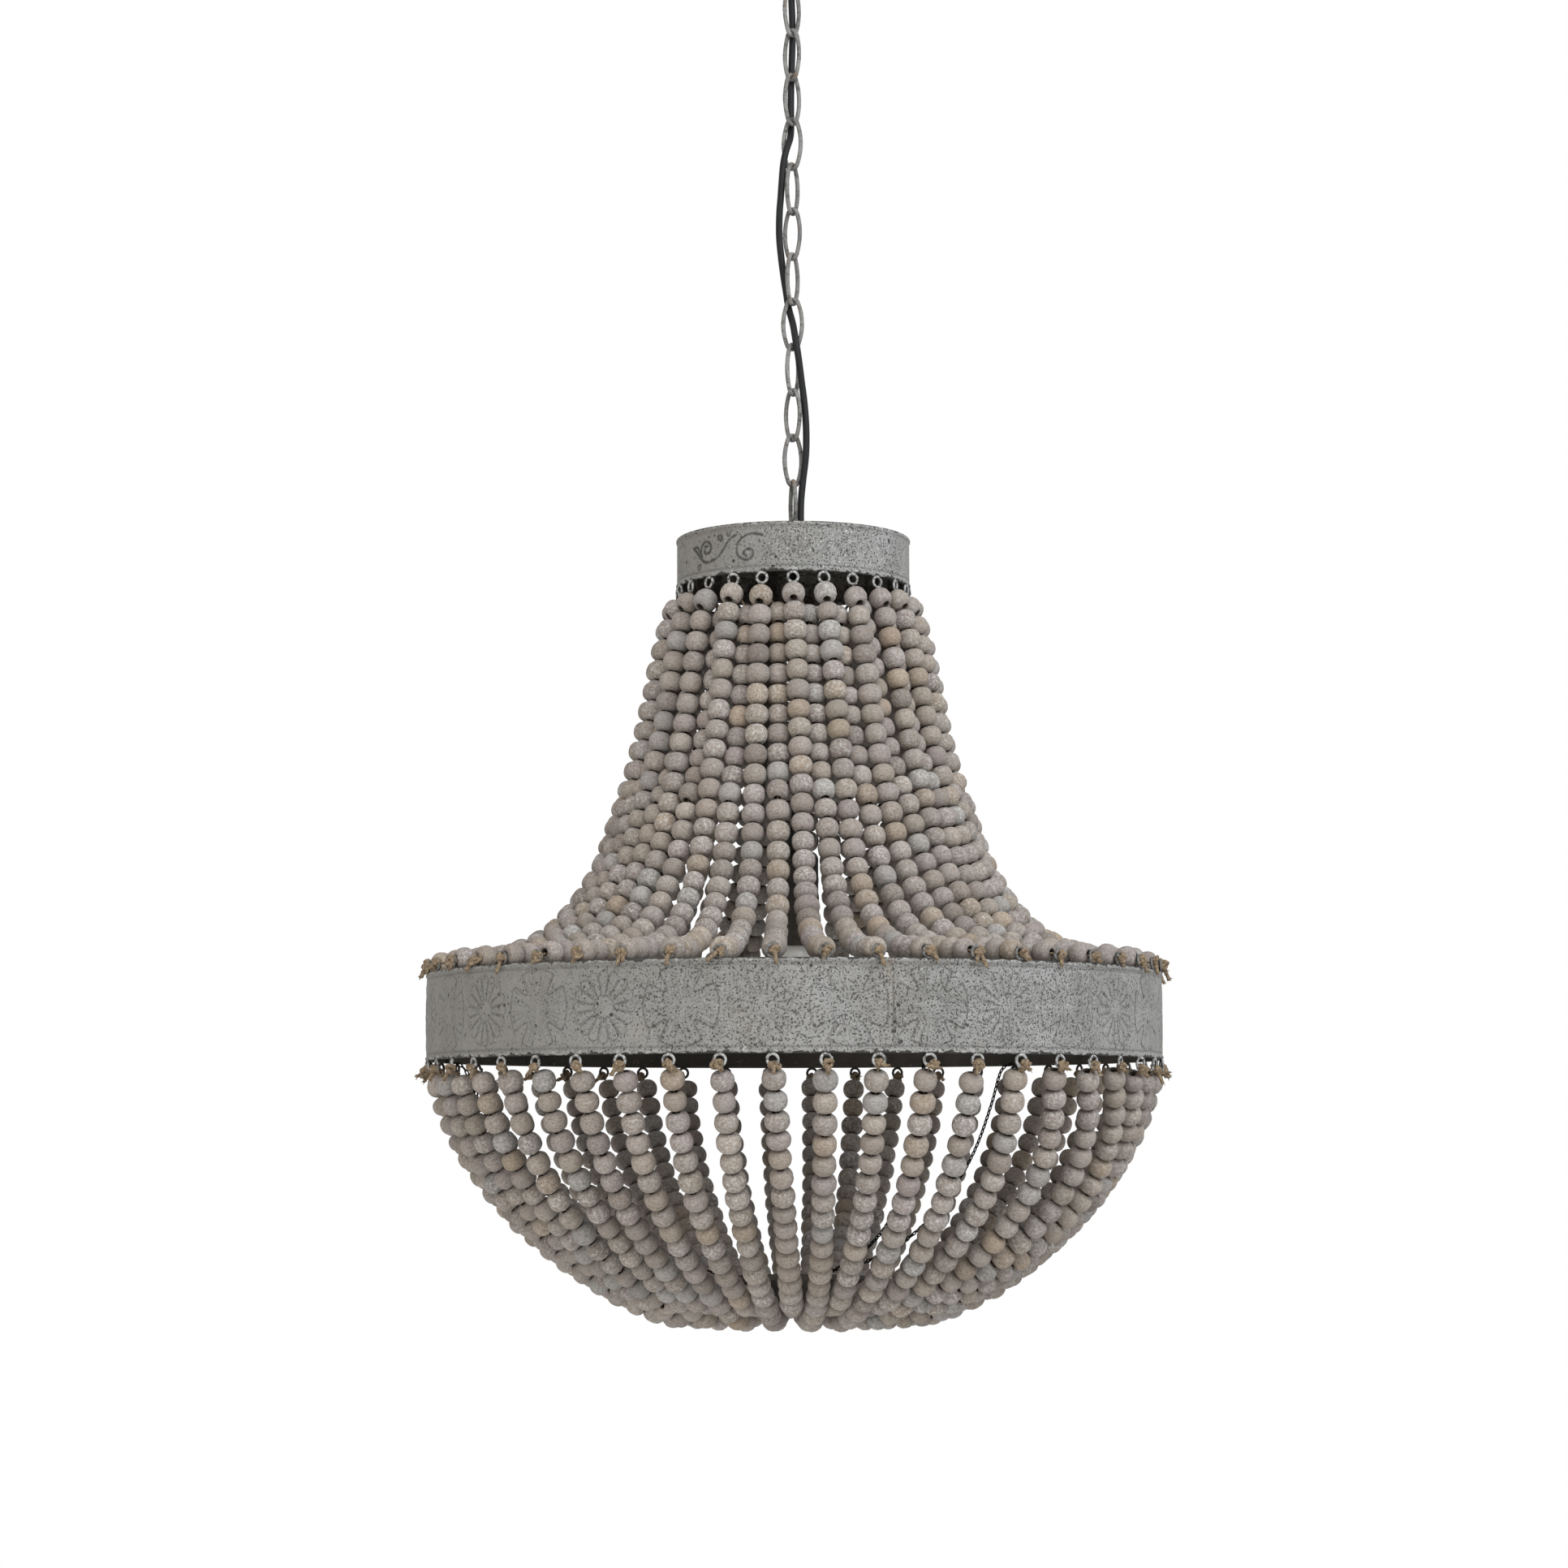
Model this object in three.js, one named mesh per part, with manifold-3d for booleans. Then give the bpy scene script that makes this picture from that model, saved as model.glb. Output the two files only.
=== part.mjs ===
// A beaded chandelier: a tin cap and a wide tin band, strung with wooden beads above and below,
// that hangs on a chain of oval links, with its flex led down through the chain.
// Millimetres, +Z up. The origin is on the ceiling, above the middle of the shade.
import * as THREE from "three";
import { mergeVertices } from "three/addons/utils/BufferGeometryUtils.js";
import Module from "manifold-3d";

const wasm = await Module();
wasm.setup();

// Fits
const fit = 0.3; // between pieces that rest on each other
const overrun = 2; // how far a cutter runs past what it cuts

// Band and cap, both rolled from tin sheet
const bandRadius = 300;
const bandHeight = 70.5;
const capRadius = 97;
const capHeight = 41;
const capToBand = 319; // from the cap's lower edge to the band's upper edge
const sheet = 1.5;
const edgeDepth = 4; // the wired edges of the band and cap are this thick
const edgeHeight = 4;
const lidRecess = 14; // how far the cap's lid lies below its rim
const bandFacets = 48;
const capFacets = 36;

// Beads and the eyes that they hang on
const beadDiameter = 18;
const strandCount = 48; // above the band, and again below it
const strandsInSector = 6;
const bowlDepth = 206; // from the band's lower edge to the lowest bead's middle
const upperStrandRise = 6.5; // of the upper strands' ends over the band's upper edge
const firstBeadInset = 6; // how far inside the band's lower eyes the beads hang
const pressWidth = 4; // of the spot where two neighbouring strands press together
const eyeDiameter = 10.9; // outside
const eyeWire = 1.8;
const eyeSeat = 0.8; // how far an eye's wire is sunk into the edge that carries it
const firstEye = THREE.MathUtils.degToRad(2); // from +X
const ringHeight = 20; // of the small hoop at the bottom of the bowl
const twineRadius = 1.2;

// Chain
const linkCount = 12;
const linkWire = 3.6;
const linkWidth = 20; // outside
const linkLength = 46; // outside
const linkEndRadius = 5; // of the wire's centreline
const linkYaws = [44, -44, 44, -30, 57, -41, 58, -18, 56, -46, 32, -76]; // degrees from +X

// Loops at the ceiling and on the cap, each with a collar on a threaded nipple that the flex runs through
const loopWire = 4;
const loopRadius = 9; // of the wire's centreline
const loopSeat = 1.5; // how deep the wire's centreline lies in its collar
const ceilingLoopYaw = THREE.MathUtils.degToRad(-44);
const capLoopYaw = THREE.MathUtils.degToRad(11);
const collarRadius = 8;
const collarHeight = 9;
const nippleRadius = 5;
const nippleBore = 4;
const nippleGrip = 6; // how deep a nipple reaches into its collar
const nippleEnd = 1.5; // how far a nipple stands out past its nut
const nutWidth = 14; // across the flats
const nutHeight = 4;

// Ceiling fitting
const bracketLength = 100;
const bracketWidth = 24;
const bracketThickness = 3;
const screwHoleRadius = 2.5;
const screwInset = 10; // from the bracket's ends to its screw holes
const yokeLength = 24; // of the box under the bracket's middle
const yokeDepth = 24; // from the ceiling
const canopyRadius = 55;
const canopyDepth = 30;
const canopySheet = 1.2;
const canopyShadowGap = 1; // between the canopy's rim and the ceiling
const blockLength = 20;
const blockWidth = 16;
const blockHeight = 9;
const blockBore = 6; // how deep the flex reaches into the terminal block

// Flex
const cordRadius = 2.85;
const cordSides = 8;

// Lamp
const holderRadius = 20;
const holderLength = 82;
const holderWall = 1;
const holderDrop = 241; // from the lid down to the holder's top
const gripRadius = 6;
const gripHeight = 14;
const insertRadius = 17;
const insertLength = 42;
const socketRadius = 13.8;
const socketDepth = 34;
const bulbCapRadius = 13.2;
const bulbCapLength = 27;
const bulbCapShoulderShare = 0.75; // of the cap's length
const bulbRadius = 30;
const bulbNeckRadius = 12.6;
const bulbLength = 84; // of the glass

// Straps that carry the band, and the fine chains that steady the small hoop
const strapCount = 3;
const strapWidth = 10;
const strapThickness = 2;
const strapFoot = 20; // how much of a strap lies against the band
const strapClearance = 2.2; // between a strap and the beads outside it
const firstStrap = THREE.MathUtils.degToRad(105);
const rivetRadius = 2;
const rivetHeadRadius = 4;
const rivetHeadHeight = 1.6;
const rivetHeadTopShare = 0.6; // of the head's radius
const fineChainCount = 3;
const fineChainRadius = 1.3;
const fineChainStrand = 6; // the first fine chain hangs over this strand, counted from the first

// Levels, from the ceiling down
const yokeFloor = bracketThickness - yokeDepth; // upper side of the box's bottom
const nippleTop = yokeFloor + fit + nutHeight + nippleEnd;
const canopyBottom = -canopyShadowGap - canopyDepth;
const ceilingCollarTop = canopyBottom - fit;
const ceilingCollarBottom = ceilingCollarTop - collarHeight;
const ceilingLoopCentre = ceilingCollarBottom + loopSeat - loopRadius;
const linkCentreLength = linkLength - linkWire;
const linkHang = linkWire + fit; // between the wires of two links that hang in each other
const loopHang = (linkWire + loopWire) / 2 + fit;
const linkPitch = linkCentreLength - linkHang;
const firstLinkTop = ceilingLoopCentre - loopRadius + loopHang;
const lastLinkBottom = firstLinkTop - linkCentreLength - (linkCount - 1) * linkPitch;
const capLoopCentre = lastLinkBottom + loopHang - loopRadius;
const capCollarTop = capLoopCentre - loopRadius + loopSeat;
const capCollarBottom = capCollarTop - collarHeight;
const lidTop = capCollarBottom - fit;
const lidBottom = lidTop - sheet;
const capNippleBottom = lidBottom - fit - nutHeight - nippleEnd;
const capTop = lidTop + lidRecess;
const capBottom = capTop - capHeight;
const bandTop = capBottom - capToBand;
const bandBottom = bandTop - bandHeight;
const holderTop = lidTop - holderDrop;
const holderBottom = holderTop - holderLength;

// Circles that the strands run between
const strandStep = (2 * Math.PI) / strandCount;
const strandReach = beadDiameter / 2;
const strandSpacing = beadDiameter + fit; // between the middles of strands that lie side by side
const eyeRadius = (eyeDiameter - eyeWire) / 2;
const eyeOffset = eyeDiameter / 2 - eyeSeat; // from an edge to the middle of its eyes
const eyeCircle = bandRadius - edgeDepth / 4;
const capEyeCircle = capRadius - edgeDepth / 4;
const gatherRadius = strandSpacing / (2 * Math.sin(strandStep)) + fit; // a layer of strands is full here
const ringRadius = gatherRadius - beadDiameter / 2 - fit; // outside

// Geometry helpers

// A closed mesh as a solid that can be joined and cut.
function solidOf(geometry) {
  const bare = geometry.index ? geometry.toNonIndexed() : geometry.clone();
  bare.deleteAttribute("normal");
  bare.deleteAttribute("uv");
  const merged = mergeVertices(bare);
  return new wasm.Manifold(
    new wasm.Mesh({
      numProp: 3,
      vertProperties: merged.attributes.position.array,
      triVerts: new Uint32Array(merged.index.array),
    }),
  );
}

// A solid as a mesh geometry again.
function geometryOf(solid) {
  const mesh = solid.getMesh();
  return new THREE.BufferGeometry()
    .setAttribute("position", new THREE.BufferAttribute(mesh.vertProperties, 3))
    .setIndex(new THREE.BufferAttribute(mesh.triVerts, 1));
}

function joined(geometries) {
  return geometryOf(geometries.map(solidOf).reduce((all, next) => all.add(next)));
}

function cutBy(geometry, cutters) {
  const cut = (left, cutter) => left.subtract(cutter);
  return geometryOf(cutters.map(solidOf).reduce(cut, solidOf(geometry)));
}

// A round bar that stands along Z from low to high.
function bar(radius, low, high, sides = 24) {
  return new THREE.CylinderGeometry(radius, radius, high - low, sides)
    .rotateX(Math.PI / 2)
    .translate(0, 0, (low + high) / 2);
}

// A profile of [radius, height] points turned round Z. One that doesn't start on the axis closes on itself.
function turned(profile, segments) {
  const points = profile.map(([radius, height]) => new THREE.Vector2(radius, height));
  if (points[0].x > 0) points.push(points[0].clone());
  return new THREE.LatheGeometry(points, segments).rotateX(Math.PI / 2);
}

// A ring of wire in the XZ plane.
function wireRing(radius, wire, sides, steps) {
  return new THREE.TorusGeometry(radius, wire / 2, sides, steps).rotateX(Math.PI / 2);
}

// A smooth path that is stepped at its own points, however far apart they lie.
class SteppedPath extends THREE.CatmullRomCurve3 {
  getUtoTmapping(share) {
    return share;
  }
}

function polygon(radius, sides) {
  const corners = Array.from({ length: sides }, (_, i) => {
    const angle = (2 * Math.PI * i) / sides;
    return new THREE.Vector2(radius * Math.cos(angle), radius * Math.sin(angle));
  });
  return new THREE.Shape(corners);
}

function sweptAlong(shape, points) {
  return new THREE.ExtrudeGeometry(shape, {
    steps: points.length - 1,
    extrudePath: new SteppedPath(points, false, "centripetal"),
    bevelEnabled: false,
  });
}

// Points of a profile beside the axis, as places in the XZ plane.
function inPlane(profile) {
  return profile.map(([radius, height]) => new THREE.Vector3(radius, 0, height));
}

// A point of the XZ plane, turned to an angle round Z.
function turnedTo([radius, height], angle) {
  return new THREE.Vector3(radius * Math.cos(angle), radius * Math.sin(angle), height);
}

// A straight bar between two points.
function strut(from, to, radius, sides) {
  const middle = from.clone().add(to).multiplyScalar(0.5);
  const direction = to.clone().sub(from);
  const turn = new THREE.Quaternion().setFromUnitVectors(
    new THREE.Vector3(0, 1, 0),
    direction.clone().normalize(),
  );
  return new THREE.CylinderGeometry(radius, radius, direction.length(), sides)
    .applyQuaternion(turn)
    .translate(middle.x, middle.y, middle.z);
}

// Materials
const greyPaint = (name) => ({ name, color: 0x8f8f8c, roughness: 0.75, metalness: 0.35 });
const darkIron = (name) => ({ name, color: 0x2b2622, roughness: 0.8, metalness: 0.4 });
const finishes = {
  zincPaint: greyPaint("zincPaint"),
  iron: darkIron("iron"),
  steel: { name: "steel", color: 0x9a9a98, roughness: 0.4, metalness: 0.9 },
  wood: { name: "wood", color: 0xa89a90, roughness: 0.85, metalness: 0 },
  pvc: { name: "pvc", color: 0x121214, roughness: 0.45, metalness: 0 },
  plastic: { name: "plastic", color: 0x1b1b1b, roughness: 0.5, metalness: 0 },
  porcelain: { name: "porcelain", color: 0xe6e2da, roughness: 0.25, metalness: 0 },
  glass: { name: "glass", color: 0xf4f1ea, roughness: 0.15, metalness: 0 },
};

const chandelier = new THREE.Group();

function addPiece(name, geometry, finish) {
  const mesh = new THREE.Mesh(geometry, new THREE.MeshStandardMaterial(finishes[finish]));
  mesh.name = name;
  chandelier.add(mesh);
  return mesh;
}

// Ceiling fitting

// A bar that screws to the ceiling, with a box under its middle that carries the nipple.
function ceilingBracket() {
  const plate = new THREE.BoxGeometry(bracketLength, bracketWidth, bracketThickness);
  const yoke = new THREE.BoxGeometry(yokeLength, bracketWidth, yokeDepth);
  const window = new THREE.BoxGeometry(
    yokeLength + overrun,
    bracketWidth - 2 * bracketThickness,
    yokeDepth - 2 * bracketThickness,
  );
  const solid = joined([
    plate.translate(0, 0, -bracketThickness / 2),
    yoke.translate(0, 0, -yokeDepth / 2),
  ]);
  const screwPlace = bracketLength / 2 - screwInset;
  const screwHoles = [-screwPlace, screwPlace].map((place) =>
    bar(screwHoleRadius, -bracketThickness - overrun, overrun, 12).translate(place, 0, 0),
  );
  const nippleHole = bar(nippleRadius + fit, -yokeDepth - overrun, yokeFloor + overrun, 16);
  return cutBy(solid, [window.translate(0, 0, -yokeDepth / 2), nippleHole, ...screwHoles]);
}

// A spun cup, open at the ceiling, with a hole in its bottom for the nipple.
const canopyOutlineShares = [
  [1, 0],
  [1, 0.2],
  [0.95, 0.53],
  [0.76, 0.83],
  [0.45, 1],
];

function canopy() {
  const outline = (radius, depth) =>
    canopyOutlineShares.map(([across, down]) => [radius * across, -canopyShadowGap - depth * down]);
  const outside = outline(canopyRadius, canopyDepth).reverse();
  const inside = outline(canopyRadius - canopySheet, canopyDepth - canopySheet);
  const hole = nippleRadius + fit;
  return turned([[hole, canopyBottom], ...outside, ...inside, [hole, canopyBottom + canopySheet]], 24);
}

function nipple(low, high) {
  return turned(
    [
      [nippleBore, low],
      [nippleRadius, low],
      [nippleRadius, high],
      [nippleBore, high],
    ],
    16,
  );
}

function lockNut(low) {
  const hexagon = bar(nutWidth / 2 / Math.cos(Math.PI / 6), low, low + nutHeight, 6);
  return cutBy(hexagon, [bar(nippleRadius + fit, low - overrun, low + nutHeight + overrun, 16)]);
}

// A ring of wire that stands on a collar. The flex runs in at the ring's foot and through the collar.
function collaredLoop() {
  const ring = wireRing(loopRadius, loopWire, 6, 16).translate(0, 0, loopRadius - loopSeat);
  const collar = bar(collarRadius, -collarHeight, 0, 16);
  const bore = bar(nippleRadius, -collarHeight + nippleGrip - overrun, loopRadius, 12);
  const thread = bar(nippleRadius + fit, -collarHeight - overrun, -collarHeight + nippleGrip, 12);
  return cutBy(joined([ring, collar]), [bore, thread]);
}

function terminalBlock() {
  const block = new THREE.BoxGeometry(blockLength, blockWidth, blockHeight);
  const bore = bar(cordRadius + fit, -blockBore, overrun, 12).rotateY(-Math.PI / 2);
  const hollow = cutBy(block, [bore.translate(-blockLength / 2, 0, 0)]);
  return hollow.translate(blockStart + blockLength / 2, 0, blockLevel);
}

// Chain

// The centreline of an oval link, from the angle of its normal: two tight end arcs and two long side arcs.
function ovalPoint(angle) {
  const halfWidth = (linkWidth - linkWire) / 2;
  const halfLength = linkCentreLength / 2;
  const endCentre = halfLength - linkEndRadius;
  const sideRadius =
    (halfWidth ** 2 + endCentre ** 2 - linkEndRadius ** 2) / (2 * (halfWidth - linkEndRadius));
  const meeting = Math.atan2(endCentre, sideRadius - halfWidth);
  const across = Math.cos(angle);
  const up = Math.sin(angle);
  const onEnd = Math.abs(up) > Math.sin(meeting);
  return onEnd
    ? [linkEndRadius * across, Math.sign(up) * endCentre + linkEndRadius * up]
    : [sideRadius * across - Math.sign(across) * (sideRadius - halfWidth), sideRadius * up];
}

// Where round the oval the wire's sections stand, in degrees of the normal, for a quarter of the link.
const quarterAngles = [8, 22, 45, 68];

function chainLink() {
  const quarters = [quarterAngles, [90], quarterAngles.map((a) => 180 - a).reverse()].flat();
  const angles = quarters.concat(quarters.map((a) => a + 180)).map(THREE.MathUtils.degToRad);
  const sides = 5;
  const positions = angles.flatMap((angle) => {
    const [across, up] = ovalPoint(angle);
    return Array.from({ length: sides }, (_, side) => {
      const turn = (2 * Math.PI * side) / sides;
      const out = (linkWire / 2) * Math.cos(turn);
      return [
        across + out * Math.cos(angle),
        (linkWire / 2) * Math.sin(turn),
        up + out * Math.sin(angle),
      ];
    }).flat();
  });
  const index = angles.flatMap((_, ring) => {
    const next = (ring + 1) % angles.length;
    return Array.from({ length: sides }, (__, side) => {
      const beside = (side + 1) % sides;
      const [a, b] = [ring * sides + side, ring * sides + beside];
      const [c, d] = [next * sides + side, next * sides + beside];
      return [a, b, d, a, d, c];
    }).flat();
  });
  return new THREE.BufferGeometry()
    .setAttribute("position", new THREE.Float32BufferAttribute(positions, 3))
    .setIndex(index);
}

// Cap

function cap() {
  const inner = capRadius - sheet;
  const drum = turned(
    [
      [nippleRadius + fit, lidBottom],
      [inner, lidBottom],
      [inner, capBottom + edgeHeight],
      [capRadius - edgeDepth, capBottom + edgeHeight],
      [capRadius - edgeDepth, capBottom],
      [capRadius, capBottom],
      [capRadius, capTop],
      [inner, capTop],
      [inner, lidTop],
      [nippleRadius + fit, lidTop],
    ],
    capFacets,
  );
  const rivetHoles = strapAngles.map((angle) =>
    bar(rivetRadius + fit, lidBottom - overrun, lidTop + overrun, 8)
      .translate(strapStart, 0, 0)
      .rotateZ(angle),
  );
  return joined([cutBy(drum, rivetHoles), ...eyes(strandCount / 2, capEyeCircle, capBottom, -1)]);
}

// Eyes of doubled wire on an edge, above it (side 1) or below it (side -1), their holes facing outward.
function eyes(count, radius, edge, side) {
  return Array.from({ length: count }, (_, i) =>
    wireRing(eyeRadius, eyeWire, 3, 4)
      .rotateY((side * Math.PI) / 2)
      .rotateZ(Math.PI / 2)
      .translate(radius, 0, edge + side * eyeOffset)
      .rotateZ(firstEye + (2 * Math.PI * i) / count),
  );
}

// Band

function band() {
  const inner = bandRadius - sheet;
  const edge = bandRadius - edgeDepth;
  const hoop = turned(
    [
      [inner, bandBottom + edgeHeight],
      [edge, bandBottom + edgeHeight],
      [edge, bandBottom],
      [bandRadius, bandBottom],
      [bandRadius, bandTop],
      [edge, bandTop],
      [edge, bandTop - edgeHeight],
      [inner, bandTop - edgeHeight],
    ],
    bandFacets,
  );
  const lower = eyes(strandCount, eyeCircle, bandBottom, -1);
  const upper = eyes(strandCount, eyeCircle, bandTop, 1);
  return joined([hoop, ...lower, ...upper]);
}

// Strands

// The outer strands' run from the cap's eyes to the band, as shares of the way out and down.
const upperStrandShares = [
  [0, 0],
  [0.034, 0.065],
  [0.076, 0.18],
  [0.139, 0.38],
  [0.217, 0.56],
  [0.33, 0.762],
  [0.52, 0.917],
  [0.74, 0.982],
  [1, 1],
];

// The lower strands' run from the band's eyes to the small hoop, as shares of the way in and down.
const lowerStrandShares = [
  [0, 0],
  [0.07, 0.22],
  [0.195, 0.46],
  [0.385, 0.69],
  [0.615, 0.88],
  [0.84, 0.99],
  [1, 0.97],
];

// How many points of a run come before the one where neighbouring strands press together
const upperCountBeforePress = 4;
const lowerCountBeforePress = 5;

function stretched(shares, [fromRadius, fromHeight], [toRadius, toHeight]) {
  return shares.map(([across, down]) => [
    THREE.MathUtils.lerp(fromRadius, toRadius, across),
    THREE.MathUtils.lerp(fromHeight, toHeight, down),
  ]);
}

// A run moved to the shade's inner side, by a depth that can differ from point to point.
function movedIn(profile, depthAt) {
  return profile.map(([radius, height], i) => {
    const [beforeRadius, beforeHeight] = profile[Math.max(i - 1, 0)];
    const [afterRadius, afterHeight] = profile[Math.min(i + 1, profile.length - 1)];
    const along = new THREE.Vector2(afterRadius - beforeRadius, afterHeight - beforeHeight).normalize();
    const depth = depthAt(radius);
    return [radius + depth * along.y, height - depth * along.x];
  });
}

// How deep a strand lies in the valley between two others, where they haven't room side by side.
function valleyDepth(radius) {
  const room = 2 * radius * Math.sin(strandStep / 2);
  return Math.sqrt(Math.max(strandSpacing ** 2 - room ** 2, 0));
}

const upperStart = [capEyeCircle + fit, capBottom - eyeOffset - eyeDiameter / 2 - fit];
const upperEnd = [bandRadius - edgeDepth - fit, bandTop + upperStrandRise];
const lowerStart = [eyeCircle - firstBeadInset, bandBottom - eyeOffset - eyeDiameter / 2 - fit];
const lowerEnd = [gatherRadius, bandBottom - bowlDepth];
const upperRuns = [stretched(upperStrandShares, upperStart, upperEnd)];
const lowerRuns = [stretched(lowerStrandShares, lowerStart, lowerEnd)];
upperRuns.push(movedIn(upperRuns[0], valleyDepth));
lowerRuns.push(movedIn(lowerRuns[0], valleyDepth));

const strandShape = polygon(strandReach, 4);

// A sector of neighbouring strands, pressed together at one point of their runs.
function strandSector(sector, runs, countBeforePress) {
  const pieces = [];
  for (let k = 0; k < strandsInSector; k += 1) {
    const number = sector * strandsInSector + k;
    const run = runs[number % 2];
    const angle = firstEye + number * strandStep;
    pieces.push(sweptAlong(strandShape, inPlane(run)).rotateZ(angle));
    if (k > 0) {
      const beside = runs[(number - 1) % 2][countBeforePress];
      const from = turnedTo(beside, angle - strandStep);
      pieces.push(strut(from, turnedTo(run[countBeforePress], angle), pressWidth / 2, 3));
    }
  }
  return pieces;
}

// The strands' own twine, tied to the small hoop.
function hoopTies(sector) {
  return Array.from({ length: strandsInSector }, (_, k) => {
    const number = sector * strandsInSector + k;
    const angle = firstEye + number * strandStep;
    const run = lowerRuns[number % 2];
    const end = run[run.length - 1];
    const height = THREE.MathUtils.clamp(end[1], ringBottom + twineRadius, ringTop - twineRadius);
    const tied = [ringRadius + fit + twineRadius / 2, height];
    return strut(turnedTo(end, angle), turnedTo(tied, angle), twineRadius, 3);
  });
}

// Small hoop at the bottom of the bowl
const ringTop = lowerRuns[1][lowerRuns[1].length - 1][1] + ringHeight / 2;
const ringBottom = ringTop - ringHeight;

function bottomRing() {
  return turned(
    [
      [ringRadius - sheet, ringBottom],
      [ringRadius, ringBottom],
      [ringRadius, ringTop],
      [ringRadius - sheet, ringTop],
    ],
    24,
  );
}

// Straps inside the upper strands
const strapStep = (2 * Math.PI) / strapCount;
const strapAngles = Array.from({ length: strapCount }, (_, i) => firstStrap + i * strapStep);
const strapInset = strandReach + strapClearance + strapThickness / 2;
const strapLine = movedIn(upperRuns[1], () => strapInset).slice(0, -1);
const strapStart = strapLine[0][0] - strapWidth; // where its rivet goes through the lid

// Out from the rivet under the lid, down inside the strands, and against the band's inner wall.
function strapRun() {
  const wall = (bandRadius - sheet) * Math.cos(Math.PI / bandFacets) - fit - strapThickness / 2;
  const top = lidBottom - fit - strapThickness / 2;
  return [
    [strapStart - strapWidth / 2, top],
    [strapStart + strapWidth / 2, top],
    [strapLine[0][0], top - strapWidth],
    ...strapLine,
    [wall, bandTop - edgeHeight - strapWidth],
    [wall, bandTop - edgeHeight - strapWidth - strapFoot],
  ];
}

function strap(angle) {
  const run = strapRun();
  const halves = [1, -1].map((side) =>
    run.map(([radius, height], i) => {
      const [beforeRadius, beforeHeight] = run[Math.max(i - 1, 0)];
      const [afterRadius, afterHeight] = run[Math.min(i + 1, run.length - 1)];
      const along = new THREE.Vector2(afterRadius - beforeRadius, afterHeight - beforeHeight).normalize();
      const half = (side * strapThickness) / 2;
      return new THREE.Vector2(radius - half * along.y, height + half * along.x);
    }),
  );
  const outline = new THREE.Shape([...halves[0], ...halves[1].reverse()]);
  const bent = new THREE.ExtrudeGeometry(outline, { depth: strapWidth, bevelEnabled: false })
    .translate(0, 0, -strapWidth / 2)
    .rotateX(Math.PI / 2);
  const hole = bar(rivetRadius + fit, lidBottom - strapWidth, lidBottom + overrun, 8);
  return cutBy(bent, [hole.translate(strapStart, 0, 0)]).rotateZ(angle);
}

function strapRivet(angle) {
  const top = lidTop + fit;
  return turned(
    [
      [0, lidBottom - fit - strapThickness - rivetHeadHeight],
      [rivetRadius, lidBottom - fit - strapThickness - rivetHeadHeight],
      [rivetRadius, top],
      [rivetHeadRadius, top],
      [rivetHeadRadius * rivetHeadTopShare, top + rivetHeadHeight],
      [0, top + rivetHeadHeight],
    ],
    10,
  )
    .translate(strapStart, 0, 0)
    .rotateZ(angle);
}

// Fine chains from the band's lower edge to the small hoop, as shares of the way in and down
const fineChainShares = [
  [0, 0],
  [0.058, 0.028],
  [0.125, 0.2],
  [0.211, 0.395],
  [0.309, 0.552],
  [0.445, 0.709],
  [0.616, 0.844],
  [0.808, 0.933],
  [1, 1],
];

function fineChain(number) {
  const from = [bandRadius - edgeDepth - fineChainRadius - fit, bandBottom + edgeHeight / 2];
  const to = [ringRadius - sheet / 2, ringTop + fineChainRadius + fit];
  const run = inPlane(stretched(fineChainShares, from, to));
  const strand = fineChainStrand + (number * strandCount) / fineChainCount;
  return sweptAlong(polygon(fineChainRadius, 4), run).rotateZ(firstEye + strand * strandStep);
}

// Lamp

function lampholderCover() {
  const inner = holderRadius - holderWall;
  const shoulder = holderTop - holderRadius / 2;
  return turned(
    [
      [cordRadius + fit, holderTop],
      [cordRadius + fit, holderTop - holderWall],
      [holderRadius / 2, holderTop - holderWall],
      [inner, shoulder],
      [inner, holderBottom],
      [holderRadius, holderBottom],
      [holderRadius, shoulder],
      [holderRadius / 2, holderTop],
    ],
    24,
  );
}

function cordGrip() {
  const bottom = holderTop + fit;
  return turned(
    [
      [cordRadius + fit, bottom],
      [gripRadius, bottom],
      [gripRadius, bottom + gripHeight / 2],
      [(gripRadius + cordRadius + fit) / 2, bottom + gripHeight],
      [cordRadius + fit, bottom + gripHeight],
    ],
    12,
  );
}

// The porcelain insert, a cup that the bulb's cap screws into, held at the cover's wall by its flange.
function lampholderInsert() {
  const top = holderBottom + insertLength;
  return turned(
    [
      [0, holderBottom + socketDepth],
      [socketRadius, holderBottom + socketDepth],
      [socketRadius, holderBottom],
      [holderRadius - holderWall - fit, holderBottom],
      [holderRadius - holderWall - fit, holderBottom + edgeHeight],
      [insertRadius, holderBottom + edgeHeight],
      [insertRadius, top],
      [0, top],
    ],
    24,
  );
}

function bulbCap() {
  const bottom = holderBottom + fit;
  return turned(
    [
      [0, bottom],
      [bulbCapRadius, bottom],
      [bulbCapRadius, bottom + bulbCapLength * bulbCapShoulderShare],
      [bulbCapRadius / 2, bottom + bulbCapLength],
      [0, bottom + bulbCapLength],
    ],
    24,
  );
}

// The bulb's glass, as shares of its radius and length, from its tip up to its neck.
const bulbShares = [
  [0.4, 0.03],
  [0.75, 0.14],
  [0.96, 0.28],
  [0.98, 0.42],
  [0.84, 0.6],
  [0.6, 0.78],
];

function bulbGlass() {
  const tip = holderBottom - bulbLength;
  return turned(
    [
      [0, tip],
      ...bulbShares.map(([across, up]) => [bulbRadius * across, tip + bulbLength * up]),
      [bulbNeckRadius, holderBottom],
      [0, holderBottom],
    ],
    24,
  );
}

// Flex
const blockLevel = -bracketThickness - fit - blockHeight / 2;
const blockStart = yokeLength / 2 + fit;

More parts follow.
